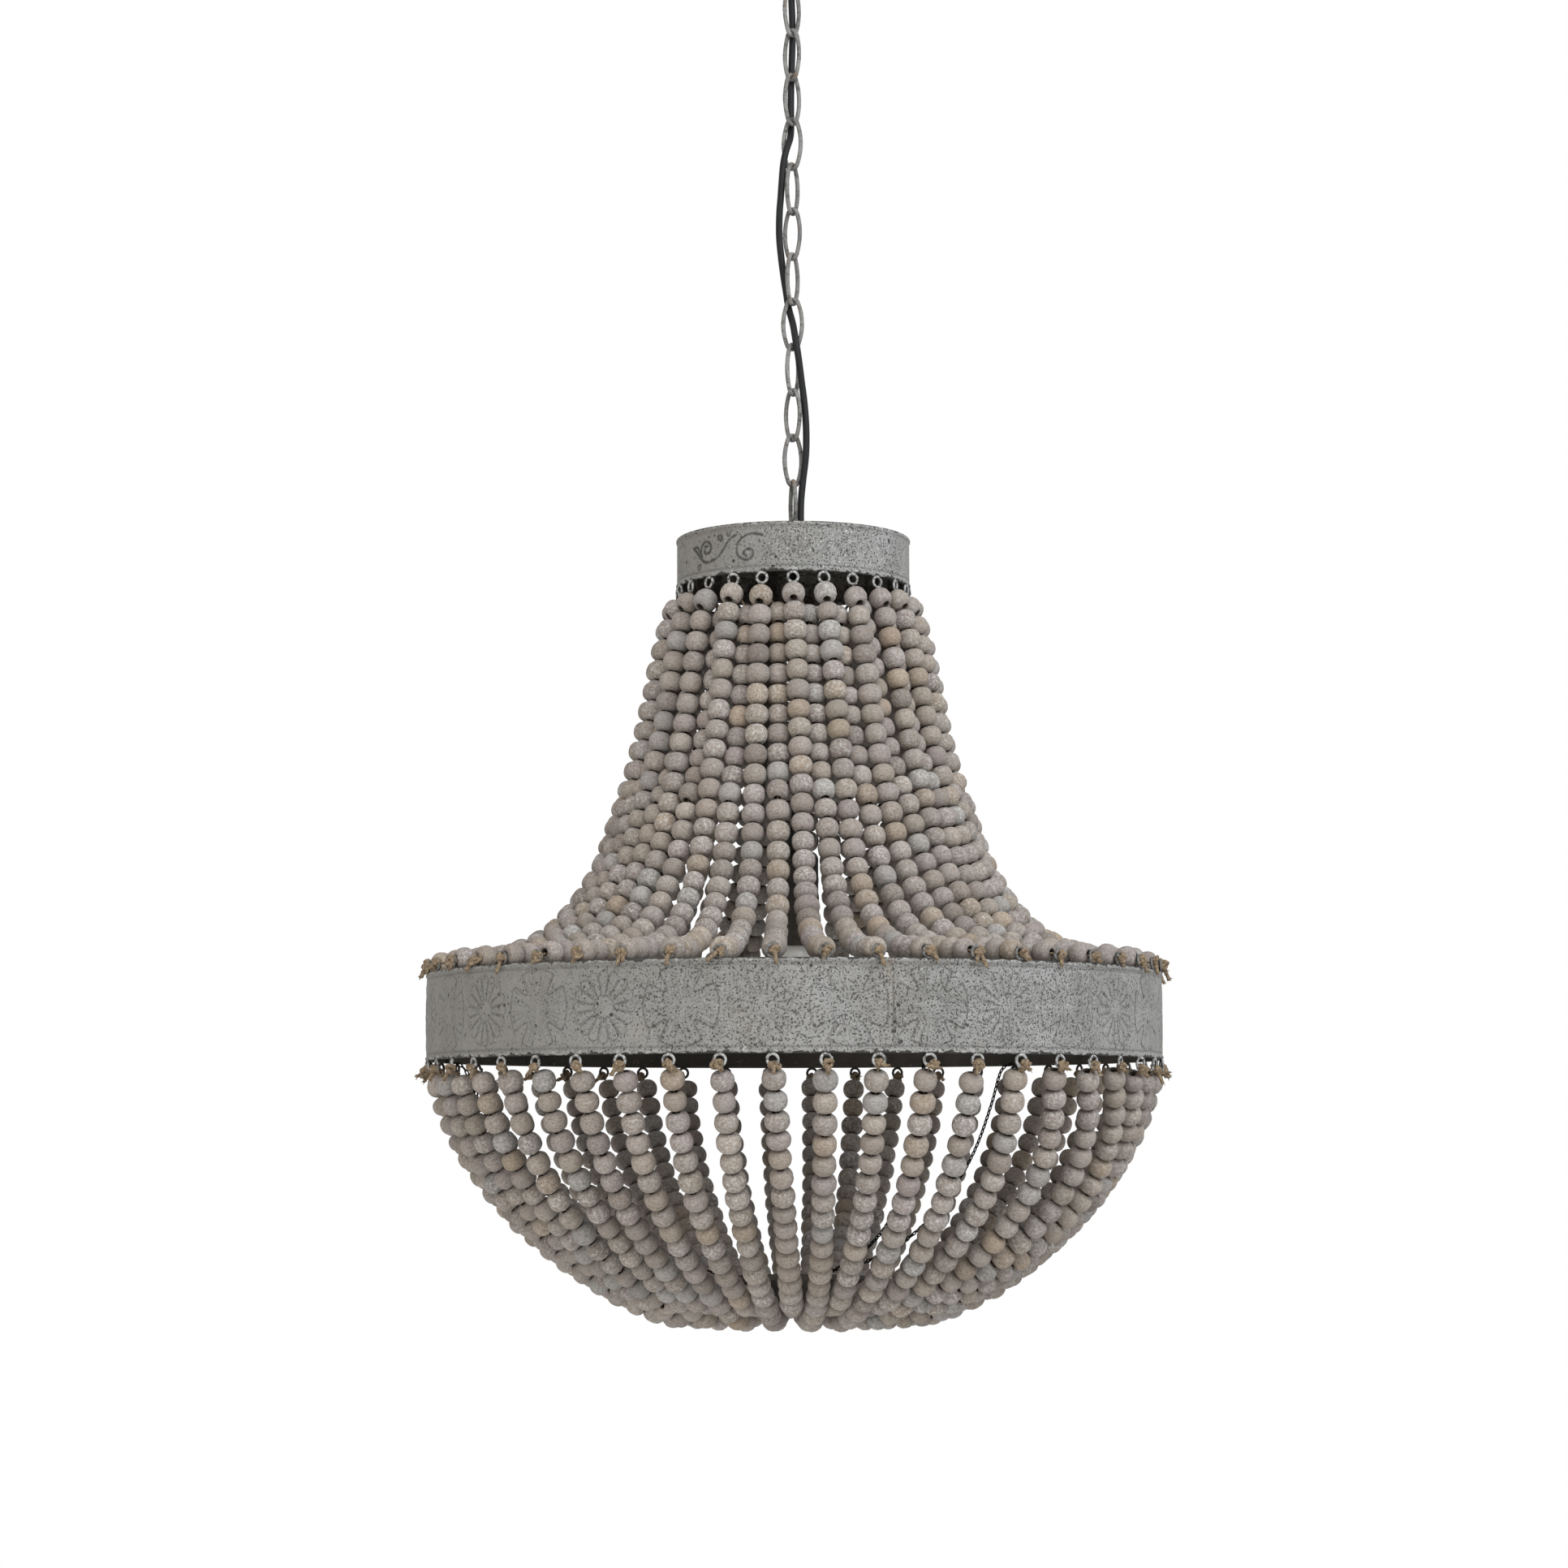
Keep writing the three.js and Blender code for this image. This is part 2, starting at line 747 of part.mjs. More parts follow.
// The flex's route between the terminal block and the lampholder, chosen by hand: down through the
// ceiling loop, beside and through the chain, in at the cap's loop and on to the lampholder.
const cordRoute = [
  [9.2, 0, -7.8],
  [5.7, 0, -8.5],
  [2.7, 0, -10.5],
  [0.7, 0, -13.5],
  [0, 0, -17.5],
  [0, 0, -25],
  [0, 0, -31.5],
  [0, 0.7, -37.3],
  [0, 2.3, -42.8],
  [-0.1, 4.3, -47.3],
  [-0.2, 6.3, -51.5],
  [-0.3, 7.4, -55.4],
  [-0.3, 8, -62],
  [0.2, 8.6, -76],
  [0.5, 9, -94],
  [0, 8.8, -112],
  [-0.6, 8.2, -130],
  [-1, 7.8, -148],
  [-1, 7.6, -162],
  [-0.9, 6.9, -171],
  [-1.1, 5.2, -178],
  [-1.9, 2, -184.5],
  [-3.4, -0.8, -190],
  [-5.2, -2.5, -196],
  [-7.4, -3.7, -207],
  [-9, -3.9, -226],
  [-9.8, -3.5, -237],
  [-10.7, -3, -248],
  [-11, -1.4, -268.5],
  [-9.2, -0.4, -288.6],
  [-7.2, 1.2, -304],
  [-5.2, 4.6, -316],
  [-4, 6.5, -324],
  [-2.6, 5.7, -331],
  [-1, 3.2, -337.5],
  [0.4, 0.2, -344],
  [1.4, -2.8, -350.5],
  [2.3, -5.3, -357],
  [3.6, -6.7, -365],
  [5.3, -6, -377],
  [7.6, -4, -395],
  [9.6, -2.7, -411],
  [11, -2.6, -432],
  [10.7, -2.2, -454.9],
  [8.4, -2.2, -475],
  [6.7, -2.7, -492],
  [6.3, -3.5, -505],
  [6.3, -4, -512],
  [6, -4.1, -516.5],
  [5.2, -3.5, -520.5],
  [3.6, -2.4, -524.5],
  [1.9, -1.3, -529],
  [0.6, -0.4, -535],
  [0, 0, -541],
  [0, 0, -555],
  [1.2, 0.4, -575],
  [2.6, 0.8, -589],
  [4.2, 1.2, -603],
  [5.8, 1.7, -621],
  [7, 2, -640],
  [7.4, 2.2, -660],
  [7.2, 2.2, -680],
  [6.1, 1.9, -699],
  [4.4, 1.4, -718],
  [2.6, 0.8, -733],
  [1.2, 0.4, -748],
  [0, 0, -766],
];

function powerCord() {
  const ends = [
    [blockStart + blockBore - fit, 0, blockLevel],
    [0, 0, holderTop - holderRadius / 2],
  ];
  const route = [ends[0], ...cordRoute, ends[1]];
  return sweptAlong(
    polygon(cordRadius, cordSides),
    route.map((place) => new THREE.Vector3(...place)),
  );
}

// The chandelier, from the ceiling down

addPiece("ceiling_bracket", ceilingBracket(), "steel");
addPiece("ceiling_nipple", nipple(ceilingCollarTop - nippleGrip + fit, nippleTop), "steel");
addPiece("ceiling_nut", lockNut(yokeFloor + fit), "steel");
addPiece("terminal_block", terminalBlock(), "porcelain");
addPiece("canopy", canopy(), "zincPaint");
const ceilingLoop = addPiece("ceiling_loop", collaredLoop(), "zincPaint");
ceilingLoop.position.z = ceilingCollarBottom;
ceilingLoop.rotation.set(Math.PI, 0, -ceilingLoopYaw);

for (let i = 0; i < linkCount; i += 1) {
  const link = addPiece("chain_link_" + String(i + 1).padStart(2, "0"), chainLink(), "zincPaint");
  link.position.z = firstLinkTop - linkCentreLength / 2 - i * linkPitch;
  link.rotation.z = THREE.MathUtils.degToRad(linkYaws[i]);
}

addPiece("power_cord", powerCord(), "pvc");
const capLoop = addPiece("cap_loop", collaredLoop(), "zincPaint");
capLoop.position.z = capCollarTop;
capLoop.rotation.z = capLoopYaw;
addPiece("cap_nipple", nipple(capNippleBottom, capCollarBottom + nippleGrip - fit), "steel");
addPiece("cap_nut", lockNut(lidBottom - fit - nutHeight), "steel");
addPiece("cap", cap(), "zincPaint");

strapAngles.forEach((angle, i) => {
  addPiece("strap_" + (i + 1), strap(angle), "iron");
  addPiece("strap_rivet_" + (i + 1), strapRivet(angle), "iron");
});

addPiece("cord_grip", cordGrip(), "plastic");
addPiece("lampholder_cover", lampholderCover(), "iron");
addPiece("lampholder_insert", lampholderInsert(), "porcelain");
addPiece("bulb_cap", bulbCap(), "steel");
addPiece("bulb_glass", bulbGlass(), "glass");

addPiece("band", band(), "zincPaint");
addPiece("bottom_ring", bottomRing(), "iron");

for (let i = 0; i < strandCount / strandsInSector; i += 1) {
  const upper = strandSector(i, upperRuns, upperCountBeforePress);
  const lower = strandSector(i, lowerRuns, lowerCountBeforePress).concat(hoopTies(i));
  addPiece("upper_strands_" + (i + 1), joined(upper), "wood");
  addPiece("lower_strands_" + (i + 1), joined(lower), "wood");
}

for (let i = 0; i < fineChainCount; i += 1) {
  addPiece("fine_chain_" + (i + 1), fineChain(i), "iron");
}

export default chandelier;
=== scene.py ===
import math

import bpy
import numpy as np
from mathutils import Matrix, Vector


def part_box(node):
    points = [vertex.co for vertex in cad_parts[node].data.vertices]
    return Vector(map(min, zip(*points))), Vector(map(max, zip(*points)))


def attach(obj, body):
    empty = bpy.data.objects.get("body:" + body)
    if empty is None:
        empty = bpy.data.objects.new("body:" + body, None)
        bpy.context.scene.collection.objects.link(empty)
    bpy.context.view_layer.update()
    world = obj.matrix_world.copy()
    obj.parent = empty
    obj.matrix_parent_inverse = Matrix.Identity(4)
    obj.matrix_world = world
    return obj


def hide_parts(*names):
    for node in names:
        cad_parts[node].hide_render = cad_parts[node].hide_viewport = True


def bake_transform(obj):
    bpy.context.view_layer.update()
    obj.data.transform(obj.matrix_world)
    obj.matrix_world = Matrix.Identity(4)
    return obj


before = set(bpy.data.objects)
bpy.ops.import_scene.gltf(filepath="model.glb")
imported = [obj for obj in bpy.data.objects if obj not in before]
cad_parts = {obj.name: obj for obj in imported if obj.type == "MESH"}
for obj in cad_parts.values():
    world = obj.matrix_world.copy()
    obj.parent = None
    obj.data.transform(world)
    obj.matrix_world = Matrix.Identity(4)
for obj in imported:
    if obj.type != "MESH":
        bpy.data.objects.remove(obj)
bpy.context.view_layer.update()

MM = 0.001  # metres in a millimetre
UP = np.array([0.0, 0.0, 1.0])
rng = np.random.default_rng(41)

# Sizes of the part in millimetres, as in its CAD
BAND_RADIUS, BAND_TOP, BAND_BOTTOM = 300.0, -886.3, -956.8
CAP_RADIUS, CAP_TOP, CAP_BOTTOM = 97.0, -526.3, -567.3
LID_TOP, LID_BOTTOM, LID_HOLE = -540.3, -541.8, 5.3
SHEET, EDGE = 1.5, 4.0  # the tin's thickness, and that of its wired edges
WALL_INSET = 0.8  # how far the wall lies inside its edges
EYE_RADIUS, EYE_WIRE, EYE_OFFSET = 4.3, 2.3, 4.65
CAP_EYE_CIRCLE, BAND_EYE_CIRCLE = 96.0, 299.0
STRANDS, IN_SECTOR = 48, 6
STRAND_STEP = 2 * math.pi / STRANDS
BEAD_RADIUS, BEAD_LENGTH = 9.3, 16.8
STRAND_SPACING = 18.3
RING_RADIUS = 61.1  # the hoop's at the foot of the bowl
UPPER_START, UPPER_END = (96.3, -577.7), (295.7, -879.8)
LOWER_START, LOWER_END = (293.0, -967.2), (70.4, -1162.8)
# How strands and fine chains curve, as shares of the way across and down
UPPER_SHARES = [
    (0, 0), (0.034, 0.065), (0.076, 0.18), (0.139, 0.38), (0.217, 0.56),
    (0.33, 0.762), (0.52, 0.917), (0.74, 0.982), (1, 1),
]
LOWER_SHARES = [(0, 0), (0.07, 0.22), (0.195, 0.46), (0.385, 0.69), (0.615, 0.88), (0.84, 0.99), (1, 0.97)]
FINE_SHARES = [
    (0, 0), (0.058, 0.028), (0.125, 0.2), (0.211, 0.395), (0.309, 0.552),
    (0.445, 0.709), (0.616, 0.844), (0.808, 0.933), (1, 1),
]
CAP_EYES_FROM = math.radians(-0.3)
BAND_EYES_FROM = math.radians(4.3)
FRONT_SEAM = math.radians(-90 + 13.9)
# Where the paint is grittiest, and the side of the tin darkened most with painted shade
GRITTY_SIDE, SHADED_SIDE = math.radians(-70), math.radians(-165)

# The photograph's camera, in pixels of the photograph, millimetres of the sensor and metres
PHOTO_PIXELS, FOCAL_PIXELS, SENSOR_WIDTH = 1932, 4250, 36
CAMERA_PLACE = (-0.008, -2.8264, -1.0141)
CAMERA_PITCH, CAMERA_ROLL = math.radians(90 + 5.76), math.radians(-0.12)


def add_camera():
    data = bpy.data.cameras.new("photo_camera")
    data.sensor_width = SENSOR_WIDTH
    data.lens = FOCAL_PIXELS / PHOTO_PIXELS * SENSOR_WIDTH
    data.clip_start, data.clip_end = 0.1, 60
    camera = bpy.data.objects.new("photo_camera", data)
    bpy.context.collection.objects.link(camera)
    turn = Matrix.Rotation(CAMERA_PITCH, 4, "X") @ Matrix.Rotation(CAMERA_ROLL, 4, "Z")
    camera.matrix_world = Matrix.Translation(CAMERA_PLACE) @ turn
    bpy.context.scene.camera = camera


add_camera()


# Curves

def smooth_curve(points, per_span=12):
    """A centripetal Catmull-Rom curve through the points, as the CAD's cord follows."""
    points = [np.array(p, float) for p in points]
    padded = [2 * points[0] - points[1], *points, 2 * points[-1] - points[-2]]
    made = []
    for p0, p1, p2, p3 in zip(padded, padded[1:], padded[2:], padded[3:]):
        d0, d1, d2 = (max(np.linalg.norm(b - a), 1e-6) ** 0.5 for a, b in ((p0, p1), (p1, p2), (p2, p3)))
        t1 = ((p1 - p0) / d0 - (p2 - p0) / (d0 + d1) + (p2 - p1) / d1) * d1
        t2 = ((p2 - p1) / d1 - (p3 - p1) / (d1 + d2) + (p3 - p2) / d2) * d1
        for t in np.arange(per_span) / per_span:
            h = 2 * t**3 - 3 * t**2
            made.append((1 + h) * p1 - h * p2 + (t**3 - 2 * t**2 + t) * t1 + (t**3 - t**2) * t2)
    made.append(points[-1])
    return np.array(made)


def lengths_along(curve):
    """The length from a curve's start to each of its points."""
    return np.concatenate([[0], np.cumsum(np.linalg.norm(np.diff(curve, axis=0), axis=1))])


def at_lengths(curve, wanted):
    """Points of a curve at these lengths along it."""
    along = lengths_along(curve)
    return np.stack([np.interp(wanted, along, curve[:, k]) for k in range(curve.shape[1])], axis=1)


def unit(v):
    return v / np.maximum(np.linalg.norm(v, axis=-1, keepdims=True), 1e-9)


def directions_at(azimuth):
    """The level directions outward and round to the right at this angle."""
    c, s = math.cos(azimuth), math.sin(azimuth)
    return np.array([c, s, 0]), np.array([-s, c, 0])


def around(radius, azimuth, height):
    """A point at this distance from the lamp's axis, angle round it and height."""
    return [radius * math.cos(azimuth), radius * math.sin(azimuth), height]


# Meshes, in millimetres

class Shape:
    """Vertices, quads and values for each vertex, gathered before they become one piece."""

    def __init__(self):
        self.vertices, self.quads, self.values, self.count = [], [], {}, 0

    def add(self, vertices, quads, **values):
        self.vertices.append(vertices)
        self.quads.append(quads + self.count)
        for name, value in values.items():
            value = np.asarray(value, float)
            one_each = value.ndim == 2 and len(value) == len(vertices)
            spread = value if one_each else np.tile(value, (len(vertices), 1))
            self.values.setdefault(name, []).append(spread)
        self.count += len(vertices)


def grid_quads(rows, columns, wrap_rows=False, wrap_columns=False):
    """The quads between a grid's vertices, row by row, and round to the first where it wraps."""
    i = np.arange(rows if wrap_rows else rows - 1)[:, None]
    j = np.arange(columns if wrap_columns else columns - 1)[None, :]
    ii, jj = (i + 1) % rows, (j + 1) % columns
    quads = np.stack([i * columns + j, i * columns + jj, ii * columns + jj, ii * columns + j], axis=-1)
    return quads.reshape(-1, 4)


def tube(points, radius, sides, closed=False, flat_normal=None):
    """A tube along points. An open one tapers to a point at its ends."""
    points = np.asarray(points, float)
    if closed:
        ahead = unit(np.roll(points, -1, axis=0) - np.roll(points, 1, axis=0))
    else:
        ahead = unit(np.gradient(points, axis=0))
    if flat_normal is not None:
        side = unit(np.cross(ahead, np.asarray(flat_normal, float)))
    else:
        side = np.zeros_like(points)
        start = np.array([1.0, 0, 0]) if abs(ahead[0][0]) < 0.8 else np.array([0, 1.0, 0])
        side[0] = unit(np.cross(ahead[0], start))
        for k in range(1, len(points)):
            side[k] = unit(side[k - 1] - ahead[k] * np.dot(side[k - 1], ahead[k]))
    other = np.cross(ahead, side)
    radius = np.broadcast_to(np.asarray(radius, float), (len(points),))
    if not closed:
        points = np.concatenate([points[:1], points, points[-1:]])
        side, other = (np.concatenate([v[:1], v, v[-1:]]) for v in (side, other))
        radius = np.concatenate([[radius[0] * 0.01], radius, [radius[-1] * 0.01]])
    turn = 2 * math.pi * np.arange(sides) / sides
    rings = points[:, None] + radius[:, None, None] * (
        np.cos(turn)[None, :, None] * side[:, None] + np.sin(turn)[None, :, None] * other[:, None]
    )
    return rings.reshape(-1, 3), grid_quads(len(points), sides, wrap_rows=closed, wrap_columns=True)


def turned(profile, columns):
    """The vertices of a profile of (radius, height) points turned round Z, and the quads between them."""
    profile = np.asarray(profile, float)
    turn = 2 * math.pi * np.arange(columns) / columns
    x = profile[:, 0][:, None] * np.cos(turn)
    y = profile[:, 0][:, None] * np.sin(turn)
    z = np.broadcast_to(profile[:, 1][:, None], x.shape)
    vertices = np.stack([x, y, z], axis=-1).reshape(-1, 3)
    return vertices, grid_quads(len(profile), columns, wrap_columns=True)


def make_piece(name, shape, material):
    """A smooth-shaded object of the shape, with its values as attributes of the vertices."""
    mesh = bpy.data.meshes.new(name)
    vertices = np.concatenate(shape.vertices) * MM
    quads = np.concatenate(shape.quads)
    mesh.vertices.add(len(vertices))
    mesh.vertices.foreach_set("co", vertices.astype(np.float32).ravel())
    mesh.loops.add(quads.size)
    mesh.loops.foreach_set("vertex_index", quads.astype(np.int32).ravel())
    mesh.polygons.add(len(quads))
    mesh.polygons.foreach_set("loop_start", np.arange(0, quads.size, 4, dtype=np.int32))
    mesh.update(calc_edges=True)
    mesh.polygons.foreach_set("use_smooth", np.full(len(quads), True))
    for value_name, parts in shape.values.items():
        data = np.concatenate(parts)
        kind, field = ("FLOAT", "value") if data.shape[1] == 1 else ("FLOAT_VECTOR", "vector")
        layer = mesh.attributes.new(value_name, kind, "POINT")
        layer.data.foreach_set(field, data.astype(np.float32).ravel())
    mesh.materials.append(material)
    mesh.validate()
    piece = bpy.data.objects.new(name, mesh)
    bpy.context.collection.objects.link(piece)
    return piece


# Materials

class Finish:
    """A material and its node tree, with short ways to add the nodes used here."""

    def __init__(self, name, **values):
        self.material = bpy.data.materials.new(name)
        self.material.use_nodes = True
        self.tree = self.material.node_tree
        self.shader = self.tree.nodes["Principled BSDF"]
        for key, value in values.items():
            self.shader.inputs[key.replace("_", " ")].default_value = value

    def node(self, kind, settings=None, **links):
        made = self.tree.nodes.new(kind)
        for key, value in (settings or {}).items():
            if hasattr(made, key):
                setattr(made, key, value)
            else:
                made.inputs[key].default_value = value
        for key, source in links.items():
            self.tree.links.new(source, made.inputs[key.replace("_", " ")])
        return made

    def link(self, source, socket):
        self.tree.links.new(source, self.shader.inputs[socket])

    def feed(self, socket, value):
        """Sets a socket to a value, or links it where the value is another node's."""
        if isinstance(value, bpy.types.NodeSocket):
            self.tree.links.new(value, socket)
        else:
            socket.default_value = value

    def coordinates(self):
        return self.node("ShaderNodeTexCoord").outputs["Object"]

    def attribute(self, name, output="Fac"):
        return self.node("ShaderNodeAttribute", {"attribute_name": name}).outputs[output]

    def noise(self, scale, vector=None, detail=3.0, roughness=0.6):
        vector = vector or self.coordinates()
        settings = {"Scale": scale, "Detail": detail, "Roughness": roughness}
        return self.node("ShaderNodeTexNoise", settings, Vector=vector).outputs["Fac"]

    def cells(self, scale):
        made = self.node("ShaderNodeTexVoronoi", {"Scale": scale}, Vector=self.coordinates())
        return made.outputs["Distance"]

    def ramp(self, source, low, high, start=0.0, end=1.0):
        """source from low to high becomes start to end, and stays there outside."""
        settings = {"From Min": low, "From Max": high, "To Min": start, "To Max": end}
        return self.node("ShaderNodeMapRange", settings, Value=source).outputs["Result"]

    def math(self, operation, first, second):
        made = self.node("ShaderNodeMath", {"operation": operation})
        self.feed(made.inputs[0], first)
        self.feed(made.inputs[1], second)
        return made.outputs[0]

    def mix(self, share, first, second, blend="MIX"):
        """Mixes two colours, each a colour written here or another node's."""
        made = self.node("ShaderNodeMix", {"data_type": "RGBA", "blend_type": blend})
        colours = [socket for socket in made.inputs if socket.type == "RGBA"]
        for socket, value in zip(colours, (first, second)):
            self.feed(socket, (*value, 1) if isinstance(value, tuple) else value)
        self.feed(made.inputs["Factor"], share)
        return [socket for socket in made.outputs if socket.type == "RGBA"][0]

    def bump(self, height, distance, strength=1.0, under=None):
        settings = {"Distance": distance, "Strength": strength}
        made = self.node("ShaderNodeBump", settings, Height=height)
        if under is not None:
            self.tree.links.new(under, made.inputs["Normal"])
        return made.outputs["Normal"]

    def scaled(self, vector, scale):
        return self.node("ShaderNodeMapping", {"Scale": scale}, Vector=vector).outputs["Vector"]

    def finished(self, colour, varied, rough, normal):
        """The material, whose roughness goes from rough's first value to its second as varied does."""
        self.link(colour, "Base Color")
        self.link(self.ramp(varied, 0.3, 0.7, *rough), "Roughness")
        self.link(normal, "Normal")
        return self.material


def tin_paint(name):
    """Aged grey paint over pressed tin: black specks, dark lines that are partly grime and partly painted
    shade in the creases, chalk spots, chipped edges.
    """
    f = Finish(name, Metallic=0.0, IOR=1.45)
    broad = f.noise(9, detail=4)
    colour = f.mix(f.ramp(broad, 0.35, 0.65), (0.245, 0.241, 0.231), (0.318, 0.317, 0.312))
    cloud = f.noise(75, detail=5, roughness=0.75)
    colour = f.mix(f.ramp(cloud, 0.48, 0.75, 0, 0.5), colour, (0.42, 0.42, 0.415))
    colour = f.mix(f.ramp(cloud, 0.5, 0.3, 0, 0.4), colour, (0.15, 0.148, 0.14))
    warm = f.noise(20, detail=3)
    colour = f.mix(f.ramp(warm, 0.58, 0.74, 0, 0.3), colour, (0.3, 0.265, 0.22))
    # painted shade: the tin's left side is darkened, as the light falls on it from the right
    colour = f.mix(f.ramp(f.attribute("left_shade"), 0.3, 1, 0, 0.55), colour, (0.165, 0.155, 0.139))
    stain = f.math("MULTIPLY", f.attribute("stain"), f.ramp(f.noise(130, detail=3), 0.38, 0.6))
    colour = f.mix(stain, colour, (0.26, 0.205, 0.145))
    uneven = f.ramp(f.noise(26, detail=4, roughness=0.7), 0.3, 0.7, -0.3, 0.3)
    grit = f.ramp(f.math("ADD", f.attribute("grit"), uneven), 0.1, 0.9)
    breaks = f.noise(330, detail=3, roughness=0.7)
    # the pressed lines darkened: partly grime, partly painted shade in the creases
    line = f.math("MULTIPLY", f.attribute("line"), f.ramp(breaks, 0.32, 0.54, 0.35, 1.0))
    colour = f.mix(f.math("MULTIPLY", line, 0.95), colour, (0.05, 0.047, 0.043))
    specks = f.math("ADD", f.noise(700, detail=2, roughness=0.55), f.ramp(grit, 0, 1, -0.05, 0.03))
    fine = f.ramp(specks, 0.59, 0.63)
    dots = f.math("MULTIPLY", f.ramp(f.cells(300), 0.36, 0.22), f.ramp(f.noise(190, detail=2), 0.56, 0.62))
    pepper = f.math("MAXIMUM", fine, dots)
    colour = f.mix(f.math("MULTIPLY", pepper, 0.9), colour, (0.035, 0.033, 0.03))
    spots = f.math("MULTIPLY", f.ramp(f.noise(480, detail=2), 0.64, 0.7), f.attribute("chalk"))
    colour = f.mix(f.math("MULTIPLY", spots, 0.85), colour, (0.66, 0.66, 0.65))
    hem = f.math("MULTIPLY", f.attribute("edge"), 0.62)
    rubbed = f.ramp(f.math("ADD", hem, f.noise(240, detail=3)), 0.71, 0.76)
    colour = f.mix(f.math("MULTIPLY", rubbed, 0.45), colour, (0.52, 0.52, 0.51))
    chips = f.ramp(f.math("ADD", hem, f.noise(150, detail=4)), 0.71, 0.75)
    flecks = f.math("MULTIPLY", f.ramp(f.cells(95), 0.17, 0.12), f.ramp(f.noise(45, detail=2), 0.53, 0.56))
    chips = f.math("MAXIMUM", chips, flecks)
    colour = f.mix(f.math("MULTIPLY", chips, 0.92), colour, (0.022, 0.02, 0.018))
    worn = f.bump(f.noise(300, detail=4, roughness=0.7), 0.0007, 0.6)
    return f.finished(colour, cloud, (0.66, 0.85), f.bump(pepper, -0.0005, 0.7, under=worn))


def inner_tin(name, bare):
    """The inner wall: brown-black, with rubs of grey. bare is how much of it is rubbed."""
    f = Finish(name, Metallic=0.0)
    broad = f.noise(14, detail=5)
    colour = f.mix(f.ramp(broad, 0.35, 0.7), (0.03, 0.026, 0.021), (0.09, 0.081, 0.069))
    rub = f.noise(150, detail=5, roughness=0.75)
    colour = f.mix(f.ramp(rub, 0.62 - bare, 0.78 - bare, 0, 0.85), colour, (0.3, 0.285, 0.262))
    return f.finished(colour, rub, (0.7, 0.9), f.bump(rub, 0.0004, 0.5))


def bead_wood(name):
    """Washed wood: each bead's own tone, fine grain with whitewash left in it, and painted shade in its hole
    and where it meets the next bead.
    """
    f = Finish(name, Metallic=0.0, IOR=1.4)
    own = f.attribute("tone", "Vector")
    place = f.attribute("grain", "Vector")
    grain = f.noise(0.8, f.scaled(place, (0.45, 0.45, 1.5)), detail=5, roughness=0.7)
    dark = f.mix(1.0, own, (0.5, 0.465, 0.43), "MULTIPLY")
    colour = f.mix(f.ramp(grain, 0.55, 0.34, 0, 0.85), own, dark)
    wash = f.noise(0.42, place, detail=6, roughness=0.8)
    washed = f.math("MULTIPLY", f.ramp(wash, 0.48, 0.6), f.attribute("wash"))
    colour = f.mix(washed, colour, (0.58, 0.56, 0.54))
    speck = f.noise(0.8, place, detail=4, roughness=0.7)
    colour = f.mix(f.ramp(speck, 0.56, 0.68, 0, 0.7), colour, (0.12, 0.094, 0.074))
    # painted shade: near black in the hole, and darker at the ends where beads touch
    colour = f.mix(f.ramp(f.attribute("hole"), 0, 1, 0, 0.97), colour, (0.018, 0.013, 0.009))
    normal = f.bump(f.math("ADD", grain, f.math("MULTIPLY", speck, 0.8)), 0.0006, 0.6)
    return f.finished(colour, speck, (0.78, 0.92), normal)


def jute(name, light=1.0):
    """Twine of tan fibres."""
    f = Finish(name, Metallic=0.0)
    fibre = f.noise(520, detail=4, roughness=0.75)
    dark, pale = (0.12 * light, 0.08 * light, 0.046 * light), (0.5 * light, 0.375 * light, 0.245 * light)
    colour = f.mix(f.ramp(fibre, 0.36, 0.64), dark, pale)
    return f.finished(colour, fibre, (0.8, 0.95), f.bump(fibre, 0.0006, 0.9))


def worn_wire(name):
    """Wire with chalky white paint outside, worn to black; black on its inward side, partly as bare wire and
    partly as painted shade where it faces the unlit inside.
    """
    f = Finish(name, Metallic=0.0)
    wear = f.noise(420, detail=4, roughness=0.7)
    # white only where the wire faces out: worn paint, and painted shade on the inward side
    painted = f.math("MULTIPLY", f.ramp(wear, 0.4, 0.55), f.attribute("outward"))
    colour = f.mix(painted, (0.035, 0.031, 0.027), (0.46, 0.462, 0.455))
    return f.finished(colour, wear, (0.5, 0.8), f.bump(wear, 0.0004, 0.6))


def painted_steel(name, pale=1.0):
    """Grey paint on wire and spun steel, with rust spots and dark scuffs."""
    f = Finish(name, Metallic=0.0)
    broad = f.noise(45, detail=5, roughness=0.65)
    dark = tuple(0.11 * pale * k for k in (1, 0.98, 0.94))
    light = tuple(0.25 * pale * k for k in (1, 0.99, 0.96))
    colour = f.mix(f.ramp(broad, 0.35, 0.65), dark, light)
    scuff = f.noise(230, detail=4, roughness=0.7)
    colour = f.mix(f.ramp(scuff, 0.52, 0.64, 0, 0.85), colour, (0.035, 0.031, 0.028))
    rust = f.math("MULTIPLY", f.ramp(f.noise(120, detail=3), 0.58, 0.7), 0.7)
    colour = f.mix(rust, colour, (0.19, 0.115, 0.066))
    return f.finished(colour, scuff, (0.55, 0.8), f.bump(scuff, 0.0004, 0.5))


def bare_metal(name, dark, light, metallic, scale, rough):
    """Metal or iron whose tone and roughness vary in patches."""
    f = Finish(name, Metallic=metallic)
    patch = f.noise(scale, detail=5, roughness=0.65)
    colour = f.mix(f.ramp(patch, 0.35, 0.65), dark, light)
    return f.finished(colour, patch, rough, f.bump(f.noise(scale * 9, detail=3), 0.0002, 0.4))


def smooth_finish(name, dark, light, scale, rough, **values):
    """A moulded, glazed or drawn surface that varies a little."""
    f = Finish(name, **values)
    patch = f.noise(scale, detail=3)
    colour = f.mix(f.ramp(patch, 0.35, 0.65), dark, light)
    return f.finished(colour, patch, rough, f.bump(f.noise(scale * 20, detail=2), 0.0001, 0.25))


